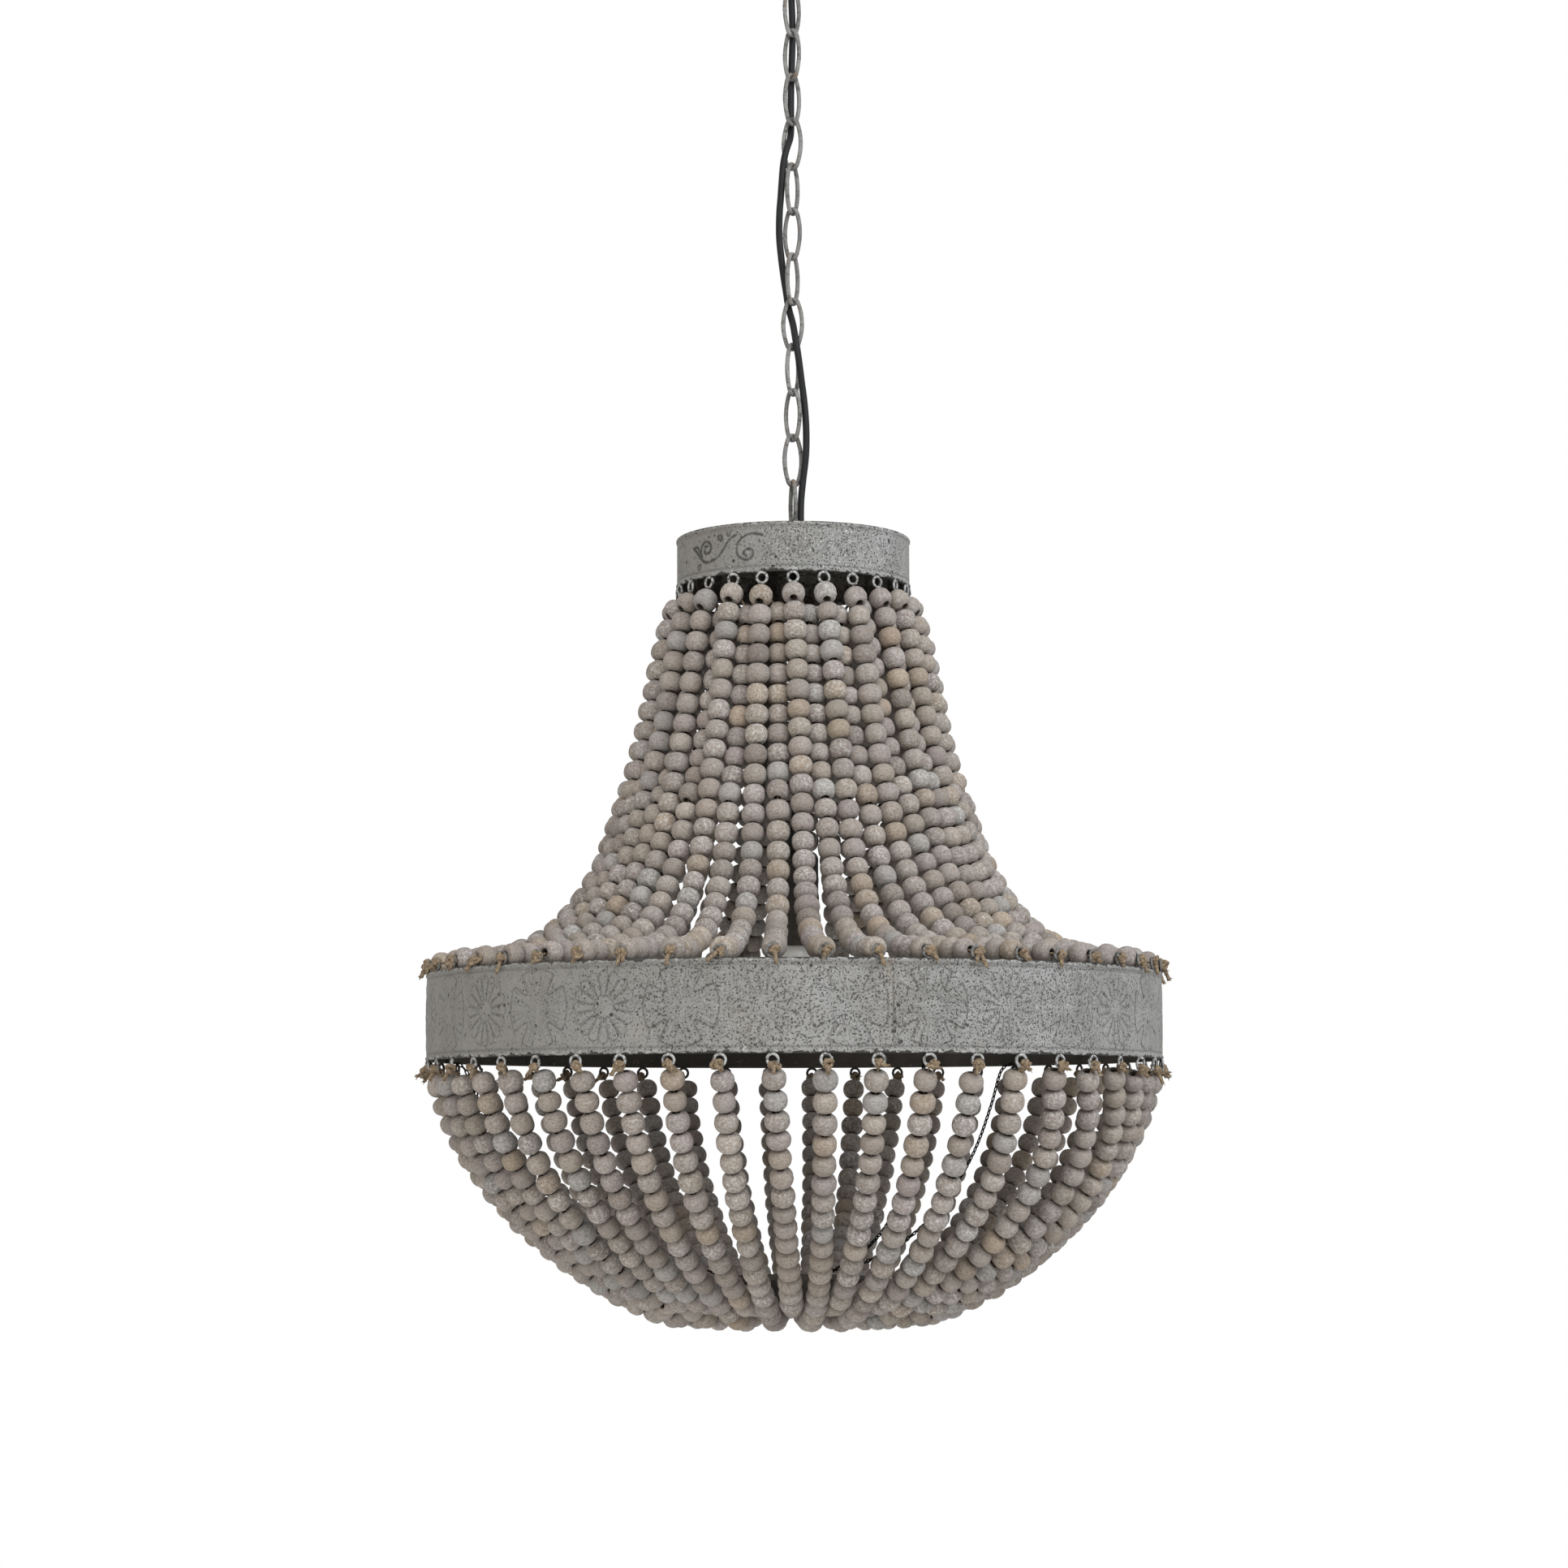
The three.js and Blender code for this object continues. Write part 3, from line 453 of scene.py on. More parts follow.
TIN = tin_paint("tin_paint")
BAND_INNER = inner_tin("band_inner", 0.02)
CAP_INNER = inner_tin("cap_inner", 0.2)
WOOD = bead_wood("bead_wood")
JUTE = jute("jute", 0.7)
WIRE = worn_wire("worn_wire")
CHAIN = painted_steel("chain_paint")
CANOPY = painted_steel("canopy_paint", 1.5)
PLATED = bare_metal("plated_steel", (0.22, 0.22, 0.21), (0.34, 0.34, 0.32), 0.35, 60, (0.65, 0.8))
IRON = bare_metal("dark_iron", (0.02, 0.018, 0.015), (0.07, 0.055, 0.042), 0.3, 110, (0.55, 0.85))
BLACK_WIRE = smooth_finish(
    "black_wire", (0.006, 0.005, 0.004), (0.02, 0.018, 0.015), 400, (0.8, 0.95), Specular_IOR_Level=0.1,
)
ALUMINIUM = bare_metal("aluminium", (0.55, 0.55, 0.54), (0.7, 0.7, 0.69), 0.95, 90, (0.25, 0.4))
SHEATH = smooth_finish(
    "cord_sheath", (0.005, 0.005, 0.006), (0.012, 0.012, 0.013), 60, (0.5, 0.62), Specular_IOR_Level=0.22,
)
PLASTIC = smooth_finish("black_plastic", (0.008, 0.008, 0.008), (0.02, 0.02, 0.02), 80, (0.4, 0.6))
PORCELAIN = smooth_finish("porcelain", (0.68, 0.66, 0.6), (0.8, 0.79, 0.75), 60, (0.15, 0.3), Coat_Weight=0.4)
GLASS = smooth_finish("bulb_glass", (0.8, 0.79, 0.75), (0.86, 0.85, 0.82), 40, (0.12, 0.2), Coat_Weight=0.3)

# The nodes that keep their CAD shape
KEPT = {
    "ceiling_bracket": PLATED, "ceiling_nipple": PLATED, "ceiling_nut": PLATED, "terminal_block": PORCELAIN,
    "canopy": CANOPY, "ceiling_loop": CHAIN, "cap_loop": CHAIN, "cap_nipple": PLATED, "cap_nut": PLATED,
    "cord_grip": PLASTIC, "lampholder_cover": IRON, "lampholder_insert": PORCELAIN,
    "bulb_cap": ALUMINIUM, "bulb_glass": GLASS, "bottom_ring": IRON,
}
KEPT.update({f"strap_{i}": IRON for i in (1, 2, 3)})
KEPT.update({f"strap_rivet_{i}": IRON for i in (1, 2, 3)})
for node, material in KEPT.items():
    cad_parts[node].data.materials.clear()
    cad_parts[node].data.materials.append(material)


# Pressed patterns, as heights in millimetres over a sheet laid flat

def ridge(distance, width):
    """1 at no distance, and falling to nothing over a little more than the width."""
    return np.exp(-((distance / width) ** 2))


FAR = 99  # a window's high end that no value reaches


def window(value, low, high, soft):
    """1 where the value is between low and high, else 0, with soft limits."""
    return 1 / (1 + np.exp(-(value - low) / soft)) / (1 + np.exp((value - high) / soft))


def least(values, soft):
    """The least of several values, rounded where they meet."""
    return -soft * np.log(sum(np.exp(-v / soft) for v in values))


def daisy(u, v):
    """A domed middle in a ring of sixteen round-ended petals, as a height and the lines round them."""
    petals, dome_radius, petal_root, petal_reach = 16, 8, 9.5, 27
    reach, angle = np.hypot(u, v), np.arctan2(v, u)
    off_axis = np.abs((angle * petals / (2 * math.pi) + 0.5) % 1 - 0.5) * 2
    half_width = math.pi * reach / petals
    tip = petal_reach - 3.5 * off_axis**2
    body = window(reach, petal_root, tip, 0.5)
    dome = 1.4 * np.sqrt(np.clip(1 - (reach / dome_radius) ** 2, 0, 1))
    height = dome + 0.5 * np.clip((1 - off_axis) / 0.3, 0, 1) ** 0.6 * body
    sides = ridge((off_axis - 0.86) * half_width, 0.6) * body
    tips = ridge(reach - tip, 0.6) * (reach > 9)
    round_dome = 0.8 * ridge(reach - 8.6, 0.7)
    return height, np.maximum.reduce([sides, tips, round_dome])


def four_lobed(u, v):
    """Four ribbed fans round a small boss, as a height and the lines round and in them."""
    reach, angle = np.hypot(u, v), np.arctan2(v, u)
    from_axis = (angle + math.pi / 4) % (math.pi / 2) - math.pi / 4
    along, across = reach * np.cos(from_axis), np.abs(reach * np.sin(from_axis))
    rim = 29.5 - 0.014 * across**2 - along
    flank = (3 + 0.56 * along - across) * 0.87
    fan = least([rim, flank], 1.3)
    inside = -least([-fan, reach - 15], 1.0)
    half_turn_of_ribs = 18
    to_rib = np.abs(np.sin(half_turn_of_ribs * angle)) / half_turn_of_ribs * reach
    fanned = window(reach, 8, FAR, 1.5) * window(inside, 2.2, FAR, 0.6)
    cross = ridge(across, 0.8) * window(inside, 1.5, FAR, 0.6)
    height = 0.5 * window(inside, 0, FAR, 0.35) + 0.25 * (1 - ridge(to_rib, 0.8)) * fanned + 0.45 * cross
    height = height + 0.6 * ridge(reach, 2.5)
    return height, np.maximum(ridge(inside, 0.65), 0.5 * ridge(to_rib, 0.5) * fanned * (1 - cross))


def band_relief(angle, height):
    """The band's motifs, fifteen on each of its two sheets, with a lap seam between the sheets."""
    relief, lines, stain = np.zeros_like(angle), np.zeros_like(angle), np.zeros_like(angle)
    on_a_sheet, motif_step, first_motif = 15, math.radians(12), math.radians(5.7)
    middle = (BAND_TOP + BAND_BOTTOM) / 2
    for k in range(2 * on_a_sheet):
        sheet_side, place = divmod(k, on_a_sheet)
        centre = FRONT_SEAM + sheet_side * math.pi + first_motif + place * motif_step
        away = (angle - centre + math.pi) % (2 * math.pi) - math.pi
        near = np.abs(away) < motif_step * 0.55
        form = four_lobed if place % 2 == 0 else daisy
        worn = rng.uniform(0.75, 1) if form is four_lobed else rng.uniform(0.4, 0.75)
        raised, drawn = form(away[near] * BAND_RADIUS, height[near] - middle)
        relief[near] += worn * raised
        lines[near] = np.maximum(lines[near], worn * drawn)
    for side in (0, math.pi):
        away = (angle - FRONT_SEAM - side + math.pi) % (2 * math.pi) - math.pi
        beside = away * BAND_RADIUS
        lap = 1 / (1 + np.exp(np.clip(beside / 0.35, -30, 30)))
        relief += 0.5 * lap * np.exp(np.minimum(beside, 0) / 5)
        lines = np.maximum(lines, 0.8 * ridge(beside, 0.6))
        stain += 0.5 * ridge(beside + 3, 5) * np.clip((height - middle + 25) / 50, 0, 1)
    return relief, lines, stain


def volute(centre, from_angle, turns, first, last, steps=60):
    """Points of a spiral that winds in to its centre, clockwise where turns is negative."""
    share = np.linspace(0, 1, steps)
    radius = first + (last - first) * share**0.8
    angle = from_angle + 2 * math.pi * turns * share
    return np.stack([centre[0] + radius * np.cos(angle), centre[1] + radius * np.sin(angle)], axis=1)


def flat_curve(points):
    """A smooth curve through points of the flat sheet."""
    return smooth_curve([(*point, 0) for point in points], 10)[:, :2]


def scroll_lines():
    """One repeat of the cap's scrolls, 87 mm long, as points on the flat sheet and how deep each line is."""
    leaf = [(-37, 5), (-31, 0), (-25, -6), (-20, -8.5), (-10, -7), (-4, -3), (0, 2), (5, 8), (11, 11)]
    hook = [
        (34, 9.5), (27, 11), (17, 8.5), (11.6, 1), (13, -6), (20, -10),
        (26, -7), (25.5, -2.5), (21, -1.5), (18, -4.5), (20.5, -7),
    ]
    return [
        (flat_curve(leaf[:5]), 1.0),
        (flat_curve(leaf[4:]), 0.75),
        (flat_curve(hook), 0.75),
        (volute((-19.5, 2.5), -2.4, -1.4, 8, 2), 0.95),
        (flat_curve([(-37, 5), (-32, 5.5), (-28, 1), (-25, -6)]), 0.8),
        (volute((-5, 10), -1.2, 1.1, 3, 1, 30), 0.7),
        (volute((4.5, 13), -1.2, -1.0, 2.6, 1, 30), 0.5),
        (volute((-29, -12), 0.8, 1.0, 2.8, 1, 30), 0.6),
        (volute((38, -6), 2.6, -1.1, 5, 1.5, 30), 0.4),
    ]


def cap_relief(angle, height):
    """The cap's scrolls, clear at the left front and worn away in their other repeats. It has no stain."""
    relief, lines = np.zeros_like(angle), np.zeros_like(angle)
    scrolls = scroll_lines()
    repeats, clear_one = 7, math.radians(-125.4)
    middle = (CAP_TOP + CAP_BOTTOM) / 2
    for k in range(repeats):
        centre = clear_one + 2 * math.pi * k / repeats
        away = (angle - centre + math.pi) % (2 * math.pi) - math.pi
        near = np.abs(away) <= math.pi / repeats
        u, v = away[near] * CAP_RADIUS, height[near] - middle
        worn = 1.0 if k == 0 else rng.uniform(0.2, 0.45)
        for line, depth in scrolls:
            apart = np.hypot(u[:, None] - line[None, ::2, 0], v[:, None] - line[None, ::2, 1]).min(axis=1)
            relief[near] = np.minimum(relief[near], -worn * 0.8 * depth * ridge(apart, 0.85))
            drawn = np.clip(1.5 * ridge(apart, 0.6 + 0.5 * depth), 0, 1)
            lines[near] = np.maximum(lines[near], 1.6 * worn * depth * drawn)
    return relief, lines, np.zeros_like(angle)


def rolled(centre_radius, centre_height, radius, start, end, steps=9):
    """An arc of a wired edge's section."""
    turn = np.radians(np.linspace(start, end, steps))
    return [(centre_radius + radius * math.cos(t), centre_height + radius * math.sin(t)) for t in turn]


def pressed_shell(radius, top, bottom, relief, chalk, columns, step, lid=None):
    """A drum or hoop of sheet with wired edges: its painted and pressed outside, and its bare inside."""
    wall = radius - WALL_INSET
    inner = wall - SHEET
    roll = EDGE / 2
    clear = EDGE + 1.2
    low, high = bottom + clear, top - clear
    rows = np.arange(low, high, step)
    outside = [
        *rolled(radius - roll, bottom + roll, roll, -90, 62),
        *[(wall, z) for z in rows],
        *rolled(radius - roll, top - roll, roll, -62, 90),
    ]
    vertices, quads = turned(outside, columns)
    grid = vertices.reshape(len(outside), columns, 3)
    angle = np.arctan2(grid[..., 1], grid[..., 0])
    height = grid[..., 2]
    raised, lines, stain = relief(angle, height)
    margin = np.minimum(height - low, high - height)
    raised *= np.clip(margin / 3, 0, 1)
    flat_radius = np.hypot(grid[..., 0], grid[..., 1])
    grid[..., :2] *= ((flat_radius + raised) / flat_radius)[..., None]
    # painted shade in the creases where the wall meets its wired edges
    foot = np.maximum(ridge(height - low, 0.9), ridge(high - height, 0.7))
    lines = np.maximum(lines * np.clip(margin / 2, 0, 1), 0.55 * foot)
    edge = np.exp(-np.minimum((height - bottom) / 2.2, (top - height) / 1.6)) * 0.6
    grit = 0.55 + 0.45 * np.cos(2 * (angle - GRITTY_SIDE))
    # painted shade, darkest on the tin's left side
    left_shade = 0.5 + 0.5 * np.cos(angle - SHADED_SIDE)
    shape = Shape()
    values = {"line": lines, "edge": edge, "stain": stain, "grit": grit, "left_shade": left_shade, "chalk": chalk * grit}
    shape.add(grid.reshape(-1, 3), quads, **{name: value.reshape(-1, 1) for name, value in values.items()})
    inner_profile = [
        *rolled(radius - roll, top - roll, roll, 90, 250, 7),
        (inner, top - EDGE),
    ]
    if lid:
        lid_top, lid_bottom, lid_hole = lid
        inner_profile += [(inner, lid_top), (lid_hole, lid_top), (lid_hole, lid_bottom), (inner, lid_bottom)]
    inner_profile += [
        (inner, bottom + EDGE),
        *rolled(radius - roll, bottom + roll, roll, 110, 270, 7),
    ]
    inside = Shape()
    inside.add(*turned(inner_profile, 240))
    return shape, inside


def add_eye(shape, azimuth, radius, height, paint):
    """A split ring of wire on an edge, its hole facing outward, with this share of its paint left; its inward
    side is black, partly as painted shade.
    """
    out, across = directions_at(azimuth)
    lean = rng.normal(0, 0.12)
    facing = unit(out + lean * across)
    across = unit(np.cross(UP, facing))
    centre = out * radius + UP * height
    steps, sides, turns = 26, 8, 1.04
    turn = rng.uniform(0, 2 * math.pi) + np.linspace(0, 2 * math.pi * turns, steps)
    between_ends = facing * 0.5 * EYE_WIRE
    points = centre + EYE_RADIUS * (np.cos(turn)[:, None] * across + np.sin(turn)[:, None] * UP)
    points = points + np.linspace(-0.5, 0.5, steps)[:, None] * between_ends
    vertices, quads = tube(points, EYE_WIRE / 2, sides)
    rings = vertices.reshape(-1, sides, 3)
    # black toward the shade's inside: bare wire there, and painted shade where the eyes face the unlit inside
    faces_out = (rings - rings.mean(axis=1, keepdims=True)) @ out / (EYE_WIRE / 2)
    shape.add(vertices, quads, outward=paint * np.clip(faces_out.reshape(-1, 1) * 2 + 0.6, 0, 1))


def add_shell(name, radius, top, bottom, relief, chalk, inner_finish, columns, step, eye_rows, lid=None):
    """The cap or the band in three pieces: painted skin, bare inside and rows of eyes."""
    outside, inside = pressed_shell(radius, top, bottom, relief, chalk, columns, step, lid)
    eyes = Shape()
    for count, first, circle, height, paint in eye_rows:
        for k in range(count):
            add_eye(eyes, first + 2 * math.pi * k / count, circle, height, paint)
    pieces = [
        make_piece(name + "_skin", outside, TIN),
        make_piece(name + "_inside", inside, inner_finish),
        make_piece(name + "_eyes", eyes, WIRE),
    ]
    for piece in pieces:
        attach(piece, "shade")
        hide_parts(name)


add_shell(
    "band", BAND_RADIUS, BAND_TOP, BAND_BOTTOM, band_relief, 0.35, BAND_INNER, 2300, 0.8,
    [
        (STRANDS, BAND_EYES_FROM, BAND_EYE_CIRCLE, BAND_TOP + EYE_OFFSET, 0.35),
        (STRANDS, BAND_EYES_FROM, BAND_EYE_CIRCLE, BAND_BOTTOM - EYE_OFFSET, 1.0),
    ],
)
add_shell(
    "cap", CAP_RADIUS, CAP_TOP, CAP_BOTTOM, cap_relief, 1.0, CAP_INNER, 1000, 0.6,
    [(STRANDS // 2, CAP_EYES_FROM, CAP_EYE_CIRCLE, CAP_BOTTOM - EYE_OFFSET, 1.0)],
    lid=(LID_TOP, LID_BOTTOM, LID_HOLE),
)


# Beads

# Tones of the washed wood, as linear colours, and how often each comes
TONES = [
    ((0.331, 0.29, 0.26), 0.34),
    ((0.34, 0.294, 0.251), 0.2),
    ((0.323, 0.28, 0.262), 0.21),
    ((0.35, 0.284, 0.222), 0.07),
    ((0.34, 0.322, 0.307), 0.11),
    ((0.268, 0.231, 0.205), 0.07),
]


def bead_template(sides=16):
    """One bead at the origin, its hole along Z: a rounded barrel, and how much painted shade it takes toward
    its hole and where it meets the next bead.
    """
    power = 2 / 2.3  # 1 makes an ellipsoid, less a squarer barrel
    outer = [
        (BEAD_RADIUS * math.cos(t) ** power, BEAD_LENGTH / 2 * math.copysign(abs(math.sin(t)) ** power, t))
        for t in np.radians([-70, -56, -42, -28, -14, 0, 14, 28, 42, 56, 70])
    ]
    end = outer[-1][1]
    funnel = [(3.2, end + 0.1), (2.4, end - 1.0), (1.6, end - 3.5)]
    profile = [(r, -z) for r, z in reversed(funnel)] + outer + funnel
    # painted shade, from the hole out over the bead's ends
    shades = [1, 1, 0.7, 0.3, 0.1, *[0] * 7, 0.1, 0.3, 0.7, 1, 1]
    return *turned(profile, sides), np.repeat(shades, sides)[:, None]


BEAD = bead_template()


def stretched(shares, start, end):
    """Points given as shares of the way across and down from start to end."""
    return np.array(start) + np.array(shares) * (np.array(end) - np.array(start))


def valley_depth(radius):
    """How far inward a strand rests against two neighbours that are less than a bead apart at this radius."""
    room = 2 * radius * math.sin(STRAND_STEP / 2)
    return np.sqrt(np.maximum(STRAND_SPACING**2 - room**2, 0))


def moved_in(run):
    """A run moved to the shade's inner side, into the valley between its neighbours."""
    ahead = unit(np.gradient(run, axis=0))
    depth = valley_depth(run[:, 0])
    return run + np.stack([depth * ahead[:, 1], -depth * ahead[:, 0]], axis=1)


UPPER_RUN = smooth_curve(stretched(UPPER_SHARES, UPPER_START, UPPER_END))
LOWER_RUN = smooth_curve(stretched(LOWER_SHARES, LOWER_START, LOWER_END))
RUNS = {"upper": (UPPER_RUN, moved_in(UPPER_RUN)), "lower": (LOWER_RUN, moved_in(LOWER_RUN))}


BOWL_LEAN = 7.5  # how far the bowl hangs to the right of its hoop


def strand_line(part, number):
    """The strand's curve in space, with a little sideways waviness."""
    run = RUNS[part][number % 2]
    along = lengths_along(run)
    share = along / along[-1]
    swept_to = 0.72
    if part == "upper":
        azimuth = CAP_EYES_FROM + (BAND_EYES_FROM - CAP_EYES_FROM) * share
    else:
        azimuth = BAND_EYES_FROM + swept_aside(number) * np.sin(math.pi * np.minimum(share / swept_to, 1))
    wave = rng.normal(0, 1.1) * np.sin(math.pi * share) + rng.normal(0, 0.7) * np.sin(2 * math.pi * share)
    azimuth = azimuth + number * STRAND_STEP + wave / run[:, 0]
    sag = rng.normal(0, 0.8) * np.sin(math.pi * share)
    line = np.stack([run[:, 0] * np.cos(azimuth), run[:, 0] * np.sin(azimuth), run[:, 1] + sag], axis=1)
    if part == "lower":
        line[:, 0] += BOWL_LEAN * share**1.5 * (1 - share**6)
    return line


def swept_aside(number):
    """How far a lower strand swings to the right at most, in radians: only at the right front."""
    from_front = math.degrees(BAND_EYES_FROM + number * STRAND_STEP) % 360 - 270
    if from_front < -180:
        from_front += 360
    places = [30, 35, 42, 50, 57, 64, 72, 80, 87, 94, 102, 110]
    angles = [0, 1, 4.5, 8, 10, 10.5, 9.5, 8, 6, 4, 2, 0]
    return math.radians(np.interp(from_front, places, angles, left=0, right=0))


def place_beads(shape, centres, directions, lengths, first_tilt):
    """Beads of varied tone, size and grain. The first one's foot is tilted outward by first_tilt."""
    vertices, quads, end_shading = BEAD
    tones = np.array([tone for tone, _ in TONES])
    odds = np.array([share for _, share in TONES])
    for k, (centre, ahead) in enumerate(zip(centres, directions)):
        outward = unit(np.array([centre[0], centre[1], 0]))
        ahead = unit(ahead + rng.normal(0, 0.06, 3) + (outward * first_tilt if k == 0 else 0))
        side = unit(np.cross(ahead, UP if abs(ahead[2]) < 0.95 else outward))
        other = np.cross(ahead, side)
        spin = rng.uniform(0, 2 * math.pi)
        axes = np.stack([
            math.cos(spin) * side + math.sin(spin) * other,
            math.cos(spin) * other - math.sin(spin) * side,
            ahead,
        ])
        size = 1 + rng.normal(0, 0.03)
        local = vertices * np.array([size, size, lengths[k] / BEAD_LENGTH])
        tone = tones[rng.choice(len(tones), p=odds)] * (1 + rng.normal(0, 0.07))
        tone = tone * (1 + rng.normal(0, 0.006, 3))
        offset = rng.uniform(-200, 200, 3)
        shape.add(
            local @ axes + centre, quads,
            tone=tone, grain=vertices + offset, wash=[rng.beta(1.6, 2.2)], hole=end_shading,
        )


def bead_places(line, start, end):
    """Middles, directions and lengths of beads on a line. start and end are lengths along it."""
    most_stretch = 1.012
    usual = BEAD_LENGTH * (1 + rng.normal(0, 0.014))
    lengths = usual * (1 + rng.normal(0, 0.035, int((end - start) / BEAD_LENGTH) + 4))
    middles = start + np.concatenate([[0], np.cumsum((lengths[1:] + lengths[:-1]) / 2)])
    count = int((middles <= end + 0.35 * BEAD_LENGTH).sum())
    stretch = (end - start) / (middles[count - 1] - start)
    middles = start + (middles[:count] - start) * min(stretch, most_stretch)
    centres = at_lengths(line, middles)
    directions = unit(at_lengths(line, middles + 3) - at_lengths(line, middles - 3))
    return centres, directions, lengths[:count]


UPPER_BEADS_FROM, UPPER_BEADS_TO = 9, 7  # from the line's ends to the outer beads' middles
LOWER_BEADS_FROM, LOWER_BEADS_TO = 9.5, 8
INNER_STRAND_LOWER, INNER_TILT, OUTER_TILT = 9, 0.15, 0.75
TWINE_RADIUS = 0.85
RING_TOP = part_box("bottom_ring")[1][2] / MM
RING_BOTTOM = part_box("bottom_ring")[0][2] / MM


def add_strands(part, sector):
    """One sector's beads and the twine through them, from eye to eye or from eye to hoop."""
    beads, twine = Shape(), Shape()
    for k in range(IN_SECTOR):
        number = sector * IN_SECTOR + k
        line = strand_line(part, number)
        length = lengths_along(line)[-1]
        if part == "upper":
            inner = number % 2 == 1
            lower = INNER_STRAND_LOWER + rng.normal(0, 3) if inner else rng.normal(0, 1.5)
            start = UPPER_BEADS_FROM + lower
            end = length - UPPER_BEADS_TO
            tilt = INNER_TILT if inner else OUTER_TILT
        else:
            start = LOWER_BEADS_FROM + rng.normal(0, 0.8)
            end = length - LOWER_BEADS_TO
            tilt = 0.0
        place_beads(beads, *bead_places(line, start, end), tilt)
        route = at_lengths(line, np.linspace(0, length, 40))
        band_eye = BAND_EYES_FROM + number * STRAND_STEP
        if part == "upper":
            cap_eye = CAP_EYES_FROM + (number // 2) * 2 * STRAND_STEP
            from_point = around(CAP_EYE_CIRCLE, cap_eye, CAP_BOTTOM - EYE_OFFSET - EYE_RADIUS)
            to_point = around(BAND_EYE_CIRCLE, band_eye, BAND_TOP + EYE_OFFSET)
            route = np.concatenate([[from_point], route[2:-1], [to_point]])
        else:
            from_point = around(BAND_EYE_CIRCLE, band_eye, BAND_BOTTOM - EYE_OFFSET - EYE_RADIUS)
            x, y, z = route[-1]
            to_hoop = (RING_RADIUS + 0.6) / math.hypot(x, y)
            to_point = [x * to_hoop, y * to_hoop, np.clip(z, RING_BOTTOM + 2, RING_TOP - 2)]
            route = np.concatenate([[from_point], route[1:], [to_point]])
        twine.add(*tube(route, TWINE_RADIUS, 6))
    node = f"{part}_strands_{sector + 1}"
    for name, shape, material in ((node + "_beads", beads, WOOD), (node + "_twine", twine, JUTE)):
        piece = make_piece(name, shape, material)
        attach(piece, "shade")
        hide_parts(node)


for sector in range(STRANDS // IN_SECTOR):
    add_strands("upper", sector)
    add_strands("lower", sector)


# Knots of twine at the band's eyes

def knot(shape, azimuth, height, drop, swing):
    """A lump of twine in an eye, its frayed tails turned down by drop and to the right by swing."""
    out, across = directions_at(azimuth)
    centre = out * (BAND_EYE_CIRCLE + 1.2) + UP * height + across * rng.normal(0.8, 0.8)
    for _ in range(5):
        normal = unit(rng.normal(0, 1, 3) + np.array([0, 0, 0.6]))
        first = unit(np.cross(normal, [0.3, 0.9, 0.2]))
        second = np.cross(normal, first)
        turn = np.linspace(0, 2 * math.pi, 15)[:-1]
        radii = rng.uniform(1.8, 2.9) * (1 + 0.12 * np.sin(3 * turn + rng.uniform(0, 6)))
        middle = centre + rng.normal(0, 0.9, 3)
        loop = middle + radii[:, None] * (np.cos(turn)[:, None] * first + np.sin(turn)[:, None] * second)
        shape.add(*tube(loop, rng.uniform(1.3, 1.8), 6, closed=True))
    for _ in range(rng.choice([1, 1, 1, 2])):
        length = rng.choice([rng.uniform(3, 7), rng.uniform(7, 12)], p=[0.65, 0.35])
        forward, aside, rise = rng.uniform(0.4, 0.8), rng.normal(swing, 0.6), rng.normal(-drop, 0.3)
        way = unit(out * forward + across * aside + UP * rise)
        droop = np.array([0, 0, -rng.uniform(1, 5)])
        share = np.linspace(0, 1, 7)[:, None]
        path = centre + way * length * share + droop * share**2 + rng.normal(0, 0.2, (7, 3))
        shape.add(*tube(path, np.linspace(1.8, 1.5, 7), 6))
        for _ in range(8):
            spread = unit(way + rng.normal(0, 0.35, 3) + droop / 12)
            tip = path[-2] + spread * rng.uniform(1.5, 4.5) * np.linspace(0, 1, 4)[:, None]
            shape.add(*tube(tip, np.linspace(0.7, 0.2, 4), 4))


def add_knots():
    shape = Shape()
    for k in range(STRANDS):
        azimuth = BAND_EYES_FROM + k * STRAND_STEP
        knot(shape, azimuth, BAND_TOP + EYE_OFFSET + 0.5, 0.8, 0.0)
        knot(shape, azimuth, BAND_BOTTOM - EYE_OFFSET - EYE_RADIUS + 0.8, 0.35, 0.6)
    piece = make_piece("band_knots", shape, JUTE)
    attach(piece, "shade")


add_knots()


# Chain

LINKS, LINK_POINTS = 12, 72
LINK_WIRE, LINK_HALF_WIDTH, LINK_HALF_LENGTH, LINK_END_RADIUS = 3.6, 8.2, 21.2, 5.0
LINK_YAWS = [44, -44, 44, -30, 57, -41, 58, -18, 56, -46, 32, -76]
FIRST_LINK_MIDDLE, LINK_PITCH = -73.9, 38.5


def oval(steps):
    """A link's centreline: two round ends joined by flatter arcs, at even turns of its normal."""
    end_centre = LINK_HALF_LENGTH - LINK_END_RADIUS
    spare = LINK_HALF_WIDTH - LINK_END_RADIUS
    side_radius = (LINK_HALF_WIDTH**2 + end_centre**2 - LINK_END_RADIUS**2) / (2 * spare)
    meeting = math.atan2(end_centre, side_radius - LINK_HALF_WIDTH)
    places = []
    for turn in np.linspace(0, 2 * math.pi, steps, endpoint=False):
        c, s = math.cos(turn), math.sin(turn)
        if abs(s) > math.sin(meeting):
            places.append((LINK_END_RADIUS * c, math.copysign(end_centre, s) + LINK_END_RADIUS * s))
        else:
            across = side_radius * c - math.copysign(side_radius - LINK_HALF_WIDTH, c)
            places.append((across, side_radius * s))
    return np.array(places)


def dense_oval():
    """The centreline again, with its points evenly spaced."""
    fine = oval(40 * LINK_POINTS)
    fine = np.concatenate([fine, fine[:1]])
    return at_lengths(fine, np.linspace(0, lengths_along(fine)[-1], LINK_POINTS + 1)[:-1])


